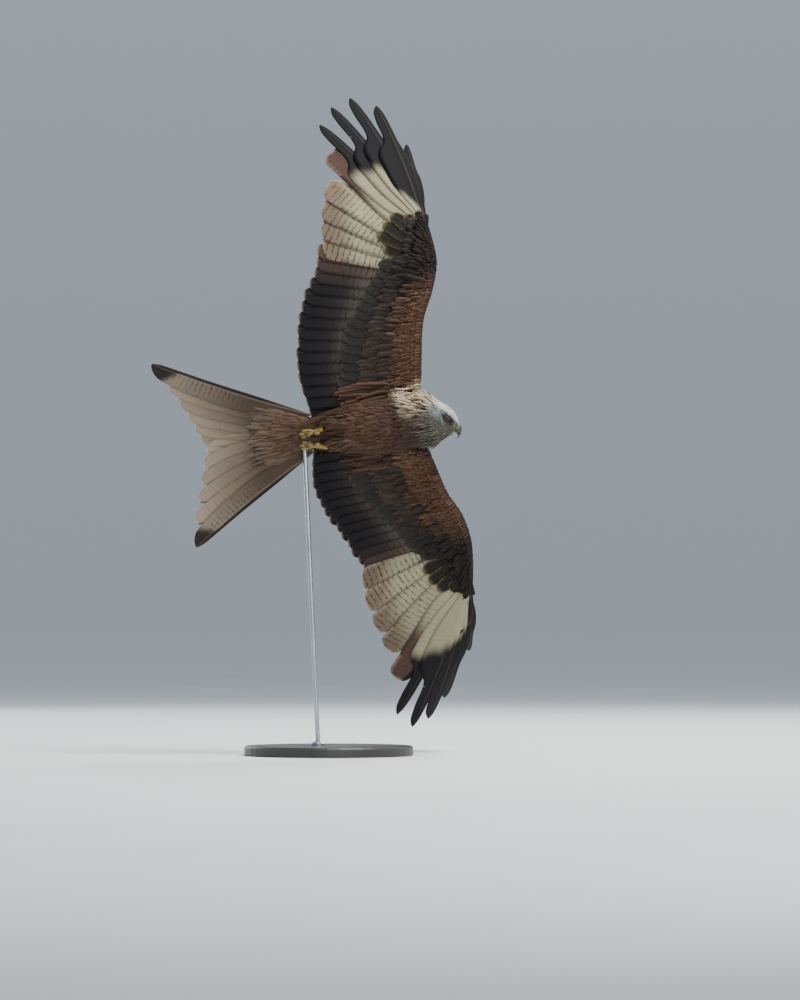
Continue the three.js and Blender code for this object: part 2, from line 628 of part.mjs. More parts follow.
// The steel rod with its collar, from the top of the base up into the bird's left flank.
function rod(grow = 0) {
  const top = new THREE.Vector3(STAND.socketX, STAND.socketY, STAND.socketZ).applyMatrix4(birdMatrix());
  const low = new THREE.Vector3(STAND.rodFootX, 0, STAND.baseThickness + GAP);
  const along = top.clone().sub(low);
  const shaft = new THREE.CylinderGeometry(STAND.rodRadius + grow, STAND.rodRadius + grow,
    along.length() + 12 + grow, STAND.rodSides);
  const matrix = new THREE.Matrix4().compose(low.clone().add(top).multiplyScalar(0.5),
    new THREE.Quaternion().setFromUnitVectors(new THREE.Vector3(0, 1, 0), along.normalize()),
    new THREE.Vector3(1, 1, 1));
  const collar = new THREE.LatheGeometry([[0, 0], [STAND.collarRadius, 0], [STAND.collarRadius, 5],
    [STAND.collarRadius - 5, STAND.collarHeight], [0, STAND.collarHeight]].map((p) => new THREE.Vector2(...p)), 28);
  const upright = new THREE.Matrix4().makeTranslation(low.x, low.y, low.z)
    .multiply(new THREE.Matrix4().makeRotationX(Math.PI / 2));
  const whole = solid(shaft, matrix).add(solid(collar, upright));
  const room = new THREE.BoxGeometry(1000, 1000, 200);
  return whole.subtract(solid(room, new THREE.Matrix4().makeTranslation(0, 0, low.z - 100)));
}

function base() {
  const { baseRadius: r, baseThickness: h, baseBevel: b } = STAND;
  const profile = [[0, 0], [r - b / 2, 0], [r, b / 2], [r, h - b], [r - b, h], [0, h]];
  const lathe = new THREE.LatheGeometry(profile.map((p) => new THREE.Vector2(...p)), 44);
  return solid(lathe, new THREE.Matrix4().makeRotationX(Math.PI / 2));
}

const bird = new THREE.Group();
bird.applyMatrix4(birdMatrix());
const rodInBird = rod(GAP).transform(birdMatrix().invert().toArray());
const torsoRoom = bodyLoft(TORSO, 14, GAP).add(rodInBird);
const skull = headFrame();
const skullRoom = skullLoft(GAP).transform(skull.toArray());
const bodyRoom = torsoRoom.add(bodyLoft(NECK, 9, GAP));
const chinRoom = solid(billLoft(LOWER_BILL, 14, GAP * 2)).transform(skull.toArray());

bird.add(piece('torso', bodyLoft(TORSO, 14).subtract(rodInBird), COLOURS.bodyFeather));
const neck = bodyLoft(NECK, 9).subtract(skullRoom).subtract(torsoRoom).subtract(chinRoom);
bird.add(piece('neck', neck, COLOURS.neckFeather));
bird.add(piece('tail', tail(torsoRoom), COLOURS.tailFeather));
bird.add(piece('wing_left', wing(WINGS.left, bodyRoom), COLOURS.flightFeather));
bird.add(piece('wing_right', wing(WINGS.right, bodyRoom), COLOURS.flightFeather));
for (const [name, side] of [['left', 1], ['right', -1]]) {
  const legRoom = torsoRoom.add(thigh(side, GAP));
  bird.add(piece(`thigh_${name}`, thigh(side).subtract(torsoRoom), COLOURS.bodyFeather));
  bird.add(piece(`foot_${name}`, foot(FEET[name], side).subtract(legRoom), COLOURS.skin));
}

const headGroup = new THREE.Group();
headGroup.applyMatrix4(skull);
headGroup.add(piece('head', head(), COLOURS.headFeather));
headGroup.add(piece('bill_upper', upperBill(), COLOURS.bill, 0.35));
headGroup.add(piece('bill_lower', solid(billLoft(LOWER_BILL)), COLOURS.bill, 0.35));
for (const [name, side] of [['left', 1], ['right', -1]]) {
  const eye = ball([EYE.radius, EYE.radius, EYE.radius], [EYE.forward, side * EYE.side, EYE.up]);
  headGroup.add(piece(`eye_${name}`, eye, COLOURS.iris, 0.1));
}
bird.add(headGroup);

const kite = new THREE.Group();
kite.add(piece('stand_base', base(), COLOURS.base, 0.5));
kite.add(piece('stand_rod', rod(), COLOURS.steel, 0.3, 1));
kite.add(bird);

export default kite;
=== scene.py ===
"""A red kite banking on a plain display stand: skin, plumage, bill, eyes, feet and finishes
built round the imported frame.

Sizes are millimetres in the bird's own frame, +X to the bill, +Y to the left wing and +Z to
the back. Flight.to_world turns them into metres in the frame's own axes.
"""

import logging
import math
from collections.abc import Callable, Iterator, Sequence
from dataclasses import dataclass, field
from enum import Enum

import bpy
import numpy as np
from mathutils import Matrix, Vector

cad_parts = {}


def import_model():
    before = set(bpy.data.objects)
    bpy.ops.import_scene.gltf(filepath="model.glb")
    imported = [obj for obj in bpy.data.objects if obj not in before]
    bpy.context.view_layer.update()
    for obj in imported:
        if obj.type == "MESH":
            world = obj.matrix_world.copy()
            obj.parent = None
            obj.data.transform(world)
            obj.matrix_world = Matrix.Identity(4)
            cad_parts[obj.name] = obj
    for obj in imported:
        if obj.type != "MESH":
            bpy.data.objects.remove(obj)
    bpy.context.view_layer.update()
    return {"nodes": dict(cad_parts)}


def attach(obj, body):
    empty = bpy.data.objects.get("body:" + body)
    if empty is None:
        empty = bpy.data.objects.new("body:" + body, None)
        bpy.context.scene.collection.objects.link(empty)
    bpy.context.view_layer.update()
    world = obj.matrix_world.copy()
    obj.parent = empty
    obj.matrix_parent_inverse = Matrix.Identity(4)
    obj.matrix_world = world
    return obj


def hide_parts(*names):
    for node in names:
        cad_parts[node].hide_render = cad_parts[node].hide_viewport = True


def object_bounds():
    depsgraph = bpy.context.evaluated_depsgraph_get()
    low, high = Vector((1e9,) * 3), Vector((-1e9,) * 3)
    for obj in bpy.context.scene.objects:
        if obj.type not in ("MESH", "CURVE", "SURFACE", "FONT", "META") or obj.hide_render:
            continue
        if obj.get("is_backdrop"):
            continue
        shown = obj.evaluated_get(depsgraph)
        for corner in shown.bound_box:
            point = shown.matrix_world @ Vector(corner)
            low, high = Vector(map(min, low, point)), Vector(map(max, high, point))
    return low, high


logging.basicConfig(level=logging.INFO, format="%(message)s")
LOG = logging.getLogger("kite")

MM = 0.001
BODY = "root"
TURN = 2 * math.pi
Array = np.ndarray
Rows = Sequence[Sequence[float]]
Curve = tuple[tuple[float, float], ...]
Random = np.random.Generator
Place = Callable[[Array, Array, Array], Array]
Paint = Callable[[Array, Array, Array, "Vane"], dict[str, Array]]
Material = bpy.types.Material
Object = bpy.types.Object
Socket = bpy.types.NodeSocket


class Face(Enum):
    """The two faces of a wing or a tail."""

    ABOVE = 1
    BELOW = -1


class Side(Enum):
    """The bird's own sides, as the sign of Y."""

    LEFT = 1
    RIGHT = -1


def colour(code: str | Array) -> Array:
    """A hex colour as linear red, green and blue.

    Args:
        code: Six hex digits, or linear values, which stay as they are.

    Returns:
        Three linear values.
    """
    if not isinstance(code, str):
        return code
    srgb = np.array([int(code[i : i + 2], 16) / 255 for i in (0, 2, 4)])
    return np.where(srgb <= 0.04045, srgb / 12.92, ((srgb + 0.055) / 1.055) ** 2.4)


def mix(a: Array | float, b: Array | float, at: Array | float) -> Array | float:
    """A value between a and b."""
    return a + (b - a) * at


def blend(a: Array | str, b: Array | str, at: Array) -> Array:
    """Colours between two colours, with one weight for each row."""
    a, b = colour(a), colour(b)
    return a + (b - a) * np.clip(at, 0, 1)[..., None]


def plain(hue: Array | str, count: int) -> Array:
    """One colour for each of a number of points."""
    return np.tile(colour(hue), (count, 1))


def ease(value: Array | float, low: float, high: float) -> Array:
    """Rises smoothly from 0 at low to 1 at high."""
    t = np.clip((np.asarray(value, float) - low) / (high - low), 0, 1)
    return t * t * (3 - 2 * t)


def smooth_rows(rows: Rows, keys: Array | float) -> Array:
    """Smooth values through rows whose first number is their key.

    Args:
        rows: Rows of a key and its values, keys rising.
        keys: The keys to look up, held inside the rows.

    Returns:
        One row of values for each key.
    """
    table = np.asarray(rows, float)
    at = np.clip(np.atleast_1d(np.asarray(keys, float)), table[0, 0], table[-1, 0])
    i = np.clip(np.searchsorted(table[:, 0], at, side="right") - 1, 0, len(table) - 2)
    a, b = table[i], table[i + 1]
    before, after = table[np.maximum(i - 1, 0)], table[np.minimum(i + 2, len(table) - 1)]
    span = (b[:, 0] - a[:, 0])[:, None]
    t = ((at - a[:, 0]) / span[:, 0])[:, None]
    m0 = (b - before) / (b[:, :1] - before[:, :1]) * span
    m1 = (after - a) / (after[:, :1] - a[:, :1]) * span
    values = (2 * t**3 - 3 * t**2 + 1) * a + (t**3 - 2 * t**2 + t) * m0
    values = values + (3 * t**2 - 2 * t**3) * b + (t**3 - t**2) * m1
    return values[:, 1:]


def plan_x(points: Rows, reach: Array | float) -> Array:
    """The x of a plan curve of (x, reach) points at each reach."""
    rows = sorted([r, x] for x, r in points)
    return smooth_rows(rows, reach)[:, 0]


def along_path(points: Rows, at: Array, extra: Array | None = None) -> Array:
    """Points along a smooth path, with 0 to 1 along its length.

    Args:
        points: Points that the path passes through.
        at: How far along each wanted point lies.
        extra: A further value at each point.

    Returns:
        One row for each wanted point.
    """
    p = np.asarray(points, float)
    steps = np.concatenate([[0], np.cumsum(np.linalg.norm(np.diff(p, axis=0), axis=1))])
    columns = [steps / steps[-1], p] if extra is None else [steps / steps[-1], p, extra]
    return smooth_rows(np.column_stack(columns), at)


def unit(vectors: Array) -> Array:
    """Vectors of length 1."""
    return vectors / np.maximum(np.linalg.norm(vectors, axis=-1, keepdims=True), 1e-9)


def dots(a: Array, b: Array) -> Array:
    """The dot product of each pair of rows."""
    return np.einsum("ij,ij->i", a, b)


@dataclass
class MeshData:
    """Points, faces and attributes, a row for each point, of one piece in the bird's millimetres."""

    points: Array
    quads: Array = field(default_factory=lambda: np.zeros((0, 4), int))
    triangles: Array = field(default_factory=lambda: np.zeros((0, 3), int))
    values: dict[str, Array] = field(default_factory=dict)

    @staticmethod
    def joined(parts: Sequence["MeshData"]) -> "MeshData":
        """Several meshes as one.

        Args:
            parts: Meshes with the same attributes.

        Returns:
            The joined mesh.
        """
        shift = np.cumsum([0] + [len(p.points) for p in parts])
        return MeshData(
            np.concatenate([p.points for p in parts]),
            np.concatenate([p.quads + s for p, s in zip(parts, shift)]),
            np.concatenate([p.triangles + s for p, s in zip(parts, shift)]),
            {n: np.concatenate([p.values[n] for p in parts]) for n in parts[0].values},
        )

    def turned_out(self) -> "MeshData":
        """The same closed mesh with its faces pointing outwards.

        Returns:
            Itself.
        """
        tris = np.concatenate([self.triangles, self.quads[:, [0, 1, 2]], self.quads[:, [0, 2, 3]]])
        a, b, c = (self.points[tris[:, k]] for k in range(3))
        if dots(a, np.cross(b, c)).sum() < 0:
            self.quads = self.quads[:, ::-1]
            self.triangles = self.triangles[:, ::-1]
        return self


def loft(rings: Array) -> MeshData:
    """A closed skin through rings of equal count, with a fan over each end.

    Args:
        rings: The rings' points, from one end to the other.

    Returns:
        The skin.
    """
    rows, count, _ = rings.shape
    points = np.concatenate([rings.reshape(-1, 3), rings[[0, -1]].mean(axis=1)])
    k = np.arange(count)
    after = (k + 1) % count
    r = np.arange(rows - 1)[:, None] * count
    quads = np.stack([r + k, r + after, r + count + after, r + count + k], -1).reshape(-1, 4)
    first = rows * count
    end = first - count
    caps = [
        np.stack([np.full(count, first), after, k], -1),
        np.stack([np.full(count, first + 1), end + k, end + after], -1),
    ]
    return MeshData(points, quads, np.concatenate(caps)).turned_out()


def circle(count: int) -> Array:
    """Angles of evenly spaced places on a circle."""
    return np.linspace(0, TURN, count, endpoint=False)


def ellipses(middles: Array, across: Array, up: Array, count: int) -> Array:
    """Rings of one ellipse for each middle, with its two half axes and a count of points."""
    angle = circle(count)[None, :, None]
    return middles[:, None] + across[:, None] * np.cos(angle) + up[:, None] * np.sin(angle)


def hoops(middles: Array, wide: Array, deep: Array, count: int) -> Array:
    """Upright rings across the X axis, with their half widths, half depths and a count of points."""
    y, z = np.array([[0, 1, 0], [0, 0, 1]])
    return ellipses(middles, wide[:, None] * y, deep[:, None] * z, count)


def tube(points: Rows, radii: Sequence[float], steps: int, sides: int) -> MeshData:
    """A round tube along a smooth path.

    Args:
        points: Points that the path passes through.
        radii: The radius at each point.
        steps: Rings along the tube.
        sides: Corners of each ring.

    Returns:
        The closed tube, with `along` from 0 to 1.
    """
    at = np.linspace(0, 1, steps)
    rows = along_path(points, at, radii)
    middles, size = rows[:, :3], rows[:, 3:]
    tangent = unit(np.gradient(middles, axis=0))
    side = unit(np.cross(tangent, [0.13, 0.2, 0.97]))
    data = loft(ellipses(middles, side * size, np.cross(side, tangent) * size, sides))
    data.values["along"] = np.concatenate([np.repeat(at, sides), [0, 1]])
    return data


@dataclass(frozen=True)
class Flight:
    """How the bird hangs in the air on its stand, in degrees and millimetres."""

    bank: float = 80.5
    pitch: float = 6.4
    forward: float = 70.0
    height: float = 736.0

    def matrix(self) -> Array:
        """The bird's frame in the row's frame.

        Returns:
            A matrix of four rows, in millimetres.
        """
        turn = Matrix.Rotation(math.radians(-self.pitch), 4, "Y") @ Matrix.Rotation(
            math.radians(-self.bank), 4, "X")
        return np.array(Matrix.Translation((self.forward, 0, self.height)) @ turn)

    def to_world(self, points: Array) -> Array:
        """Points of the bird in metres of the row's frame."""
        m = self.matrix()
        return (points @ m[:3, :3].T + m[:3, 3]) * MM


FLIGHT = Flight()


def show(name: str, data: bpy.types.ID) -> Object:
    """A new object of the scene, at the origin.

    Args:
        name: Its name.
        data: Its mesh, light or camera.

    Returns:
        The object.
    """
    thing = bpy.data.objects.new(name, data)
    bpy.context.scene.collection.objects.link(thing)
    return thing


def fill_mesh(mesh: bpy.types.Mesh, points: Array, data: MeshData) -> None:
    """Fills an empty mesh, all of it shaded smooth.

    Args:
        mesh: The mesh.
        points: Its points, in its own units.
        data: Its faces and attributes.
    """
    mesh.from_pydata(points.tolist(), [], data.quads.tolist() + data.triangles.tolist())
    for key, rows in data.values.items():
        put_attribute(mesh, key, rows)
    mesh.polygons.foreach_set("use_smooth", np.ones(len(mesh.polygons), bool))
    mesh.update()


def make_object(name: str, data: MeshData, finish: Material | None = None) -> Object:
    """A scene object from mesh data in the bird's frame.

    Args:
        name: The piece's name.
        data: Its points, faces and attributes.
        finish: Its material.

    Returns:
        The object, at the origin.
    """
    mesh = bpy.data.meshes.new(name)
    fill_mesh(mesh, FLIGHT.to_world(data.points), data)
    if finish:
        mesh.materials.append(finish)
    return show(name, mesh)


def put_attribute(mesh: bpy.types.Mesh, key: str, rows: Array) -> None:
    """Stores numbers, vectors or colours on a mesh's points, and OFBake on its corners.

    Args:
        mesh: The mesh that gets them.
        key: The attribute's name.
        rows: One row for each point.
    """
    rows = np.asarray(rows, np.float32)
    if key == "OFBake":
        layer = mesh.uv_layers.new(name=key)
        if len(rows) != len(mesh.loops):
            corner = np.zeros(len(mesh.loops), np.int32)
            mesh.loops.foreach_get("vertex_index", corner)
            rows = rows[corner]
        layer.data.foreach_set("uv", rows.ravel())
    elif rows.ndim == 1:
        mesh.attributes.new(key, "FLOAT", "POINT").data.foreach_set("value", rows)
    elif key.startswith("vec_"):
        mesh.attributes.new(key, "FLOAT_VECTOR", "POINT").data.foreach_set("vector", rows.ravel())
    else:
        full = np.column_stack([rows, np.ones(len(rows), np.float32)])
        mesh.attributes.new(key, "FLOAT_COLOR", "POINT").data.foreach_set("color", full.ravel())


def settle(piece: Object, slot: str, *nodes: str) -> None:
    """Rides a finished piece on the body, and hides the nodes it stands for.

    Args:
        piece: The piece.
        slot: The record's material slot; not used.
        nodes: The nodes it replaces.
    """
    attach(piece, BODY)
    if nodes:
        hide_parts(*nodes)
    LOG.info("%s: %d faces", piece.name, len(piece.data.polygons))


class NodeBoard:
    """A node tree with short calls that add and link its nodes."""

    def __init__(self, tree: bpy.types.NodeTree) -> None:
        """Keeps the tree."""
        self.tree = tree

    def feed(self, socket: Socket, value: object) -> None:
        """Links a socket, or sets its value.

        Args:
            socket: The input.
            value: The socket to link, or the value.
        """
        if isinstance(value, Socket):
            self.tree.links.new(value, socket)
        else:
            socket.default_value = value

    def node(self, kind: str, inputs: dict[int | str, object] | None = None, **settings: object
             ) -> bpy.types.Node:
        """Adds a node.

        Args:
            kind: Its type.
            inputs: What its inputs get, by place or name.
            settings: Its properties.

        Returns:
            The node.
        """
        made = self.tree.nodes.new(kind)
        for key, value in settings.items():
            setattr(made, key, value)
        for key, value in (inputs or {}).items():
            self.feed(made.inputs[key], value)
        return made


class NodeSheet(NodeBoard):
    """A material's node tree, with short calls for the nodes that the finishes use."""

    def __init__(self, name: str) -> None:
        """Starts an empty material.

        Args:
            name: The material's name.
        """
        self.material = bpy.data.materials.new(name)
        self.material.use_nodes = True
        super().__init__(self.material.node_tree)
        self.shader = self.tree.nodes["Principled BSDF"]

    def attribute(self, name: str, output: str = "Fac") -> Socket:
        """An attribute of the mesh."""
        return self.node("ShaderNodeAttribute", attribute_name=name).outputs[output]

    def math(self, operation: str, a: object, b: object = 0.0) -> Socket:
        """One sum on numbers."""
        return self.node("ShaderNodeMath", {0: a, 1: b}, operation=operation).outputs[0]

    def plus(self, a: object, b: object) -> Socket:
        """The sum of two numbers."""
        return self.math("ADD", a, b)

    def times(self, a: object, b: object) -> Socket:
        """The product of two numbers."""
        return self.math("MULTIPLY", a, b)

    def span(self, value: object, low: float, high: float, to_low: float = 0.0,
             to_high: float = 1.0) -> Socket:
        """A number moved smoothly from one range to another."""
        given = dict(enumerate((value, low, high, to_low, to_high)))
        return self.node("ShaderNodeMapRange", given, interpolation_type="SMOOTHSTEP").outputs[0]

    def mix(self, weight: object, a: object, b: object, how: str = "MIX") -> Socket:
        """A mix of two colours."""
        made = self.node("ShaderNodeMix", {0: weight, 6: a, 7: b}, data_type="RGBA", blend_type=how)
        return made.outputs[2]

    def place(self) -> Socket:
        """Object coordinates, in metres."""
        return self.node("ShaderNodeTexCoord").outputs["Object"]

    def noise(self, scale: float, detail: float = 3.0, place: Socket | None = None) -> Socket:
        """Noise on Object coordinates, or on the place given."""
        given = {"Scale": scale, "Detail": detail, "Vector": place or self.place()}
        return self.node("ShaderNodeTexNoise", given).outputs["Fac"]

    def bump(self, height: Socket, strength: float, distance: float) -> None:
        """Feeds the shader's normal from a height."""
        made = self.node("ShaderNodeBump", {"Strength": strength, "Distance": distance, "Height": height})
        self.feed(self.shader.inputs["Normal"], made.outputs["Normal"])

    def dress(self, **sockets: object) -> Material:
        """Sets the shader's sockets.

        Args:
            sockets: Their values, by names with _ for a space.

        Returns:
            The material.
        """
        for key, value in sockets.items():
            self.feed(self.shader.inputs[key.replace("_", " ")], value)
        return self.material


@dataclass(frozen=True)
class PlumageFinish:
    """Small feathers: a tint, a dark shaft streak, a paler rim and fine barbs."""

    name: str
    roughness: float = 0.72
    barbs: float = 26.0

    def build(self) -> Material:
        """Makes the material.

        Returns:
            The material.
        """
        sheet = NodeSheet(self.name)
        along = sheet.attribute("along")
        across = sheet.math("ABSOLUTE", sheet.attribute("across"))
        tint, rim, dark = (sheet.attribute(name, "Color") for name in ("tint", "rim", "dark"))
        wander = sheet.times(sheet.noise(900), 0.25)
        width = sheet.times(sheet.attribute("streak"), sheet.span(along, 0.2, 1.0, 1.0, 0.35))
        inside = sheet.math("SUBTRACT", width, sheet.plus(across, wander))
        streaked = sheet.mix(sheet.span(inside, -0.16, 0.02), tint, dark)
        tip = sheet.math("POWER", along, 5.0)
        edge = sheet.math("MAXIMUM", sheet.times(across, sheet.span(along, 0.3, 0.8)), tip)
        rimmed = sheet.mix(sheet.span(sheet.plus(edge, wander), 0.72, 1.05), streaked, rim)
        stripes = sheet.plus(sheet.times(along, self.barbs), sheet.times(across, -0.3 * self.barbs))
        barb = sheet.math("SINE", sheet.times(stripes, TURN))
        shade = sheet.plus(sheet.span(sheet.attribute("rand"), 0, 1, 0.82, 1.16), sheet.times(barb, 0.035))
        sheet.bump(barb, 0.35, 0.0002)
        return sheet.dress(Base_Color=sheet.mix(1.0, rimmed, shade, "MULTIPLY"), Roughness=self.roughness,
                           Specular_IOR_Level=0.2)


@dataclass(frozen=True)
class VaneFinish:
    """Flight and tail feathers: colour with painted backlit tips, cross bars, a pale shaft and slanted barbs,
    in millimetres.
    """

    name: str
    spacing: float = 13.0
    shaft: str = "8A7A68"
    barb_gap: float = 1.3
    coarse_gap: float = 5.7

    def build(self) -> Material:
        """Makes the material.

        Returns:
            The material.
        """
        sheet = NodeSheet(self.name)
        far, rand = sheet.attribute("far"), sheet.attribute("rand")
        beside = sheet.math("ABSOLUTE", sheet.attribute("across"))
        start = sheet.plus(sheet.math("DIVIDE", far, self.spacing), sheet.times(rand, 3.0))
        bent = sheet.plus(sheet.times(beside, -0.35), sheet.times(sheet.noise(160), 0.7))
        wave = sheet.math("SINE", sheet.times(sheet.plus(start, bent), TURN))
        band = sheet.times(sheet.span(wave, 0.5, 0.92), sheet.attribute("bars"))
        broken = sheet.times(band, sheet.span(sheet.noise(130, 5), 0.4, 0.56, 0.15, 1.0))
        barred = sheet.mix(broken, sheet.attribute("tint", "Color"), sheet.attribute("dark", "Color"))
        slant = sheet.plus(far, sheet.times(beside, -14.0))
        barb = sheet.math("SINE", sheet.times(slant, TURN / self.barb_gap))
        waves = sheet.plus(sheet.times(slant, TURN / self.coarse_gap), sheet.times(rand, 20.0))
        relief = sheet.plus(sheet.times(barb, 0.04), sheet.times(sheet.math("SINE", waves), 0.03))
        shade = sheet.plus(sheet.span(rand, 0, 1, 0.9, 1.1), relief)
        feather = sheet.mix(1.0, barred, shade, "MULTIPLY")
        shaft = sheet.times(sheet.span(beside, 0.02, 0.05, 1.0, 0.0), 0.6)
        quill = sheet.mix(0.24, feather, (*colour(self.shaft), 1.0))
        sheet.bump(barb, 0.3, 0.0002)
        return sheet.dress(Base_Color=sheet.mix(shaft, feather, quill), Roughness=0.6,
                           Specular_IOR_Level=0.14)


@dataclass(frozen=True)
class PaintedFinish:
    """A surface coloured by its own `tint` attribute, with noise in colour and bump.

    Args:
        name: The material's name.
        roughness: Roughness of the surface.
        grain: Scale of the noise.
        relief: Height of the bump in metres.
        coat: Weight of a clear coat.
        uneven: How much the noise changes the colour.
        shine: Specular level.
    """

    name: str
    roughness: float = 0.5
    grain: float = 500.0
    relief: float = 0.0003
    coat: float = 0.0
    uneven: float = 0.25
    shine: float = 0.5

    def build(self) -> Material:
        """Makes the material.

        Returns:
            The material.
        """
        sheet = NodeSheet(self.name)
        speck = sheet.noise(self.grain, 4)
        shade = sheet.span(speck, 0.3, 0.7, 1 - self.uneven, 1 + self.uneven)
        made = sheet.mix(1.0, sheet.attribute("tint", "Color"), shade, "MULTIPLY")
        sheet.bump(speck, 0.5, self.relief)
        cloud = sheet.noise(self.grain * 0.4)
        rough = sheet.span(cloud, 0.3, 0.7, self.roughness - 0.06, self.roughness + 0.08)
        return sheet.dress(Base_Color=made, Roughness=rough, Coat_Weight=self.coat,
                           Specular_IOR_Level=self.shine)


@dataclass(frozen=True)
class StandFinish:
    """Painted metal or brushed steel for the display stand.

    Args:
        name: The material's name.
        hue: Hex colour.
        metallic: 1 for bare metal.
        roughness: Roughness of the surface.
        brushed: Stretch of the grain along the rod.
    """

    name: str
    hue: str
    metallic: float
    roughness: float
    brushed: float = 1.0

    def build(self) -> Material:
        """Makes the material.

        Returns:
            The material.
        """
        sheet = NodeSheet(self.name)
        stretch = {"Scale": (1, 1, 1 / self.brushed), "Vector": sheet.place()}
        grain = sheet.noise(1400, 2, sheet.node("ShaderNodeMapping", stretch).outputs[0])
        base = np.append(colour(self.hue), 1)
        cloud = sheet.span(sheet.noise(9, 3), 0.3, 0.7)
        made = sheet.mix(cloud, tuple(base * 0.85), tuple(np.minimum(base * 1.12, 1)))
        sheet.bump(grain, 0.12, 0.0001)
        rough = sheet.span(grain, 0.3, 0.7, self.roughness - 0.05, self.roughness + 0.07)
        return sheet.dress(Base_Color=made, Metallic=self.metallic, Roughness=rough)


# Outlines: how far along, then the share of the leading and of the trailing width.
BROAD = ((0, 0.1, 0.08), (0.1, 0.35, 0.25), (0.3, 0.9, 0.85), (0.6, 1, 1), (0.9, 0.94, 0.96), (1, 0.8, 0.85))
FINGER = ((0, 0.1, 0.06), (0.12, 0.4, 0.25), (0.32, 1, 0.82), (0.5, 0.98, 1), (0.6, 0.64, 0.94),
          (0.67, 0.5, 0.48), (0.85, 0.45, 0.4), (0.94, 0.36, 0.31), (1, 0.2, 0.17))
TAPER = ((0, 0.1, 0.08), (0.1, 0.5, 0.4), (0.35, 1, 0.95), (0.7, 1, 1), (0.9, 0.84, 0.8), (1, 0.55, 0.5))
COVERT = ((0, 0.2, 0.2), (0.3, 0.85, 0.85), (0.6, 1, 1), (0.9, 0.9, 0.9), (1, 0.7, 0.7))


@dataclass(frozen=True)
class VaneCut:
    """The thickness and the rounding that feathers of one kind share.

    Args:
        slope: Rise across the feather towards its leading side.
        thick: Thickness beside the shaft.
        thin: Thickness at the edges.
        shaft: Half width of the shaft at the root.
        rounding: Where along the feather its rounded tip starts.
        cup: How far the edges curl down, as a share of their distance from the shaft.
        stations: Rings from root to tip.
    """

    slope: float = 0.05
    thick: float = 0.42
    thin: float = 0.2
    shaft: float = 1.5
    rounding: float = 0.93
    cup: float = 0.02
    stations: int = 60


FLIGHT_CUT = VaneCut()
COVERT_CUT = VaneCut(slope=0.04, thick=0.36, shaft=0.6, rounding=0.78, cup=0.05, stations=16)


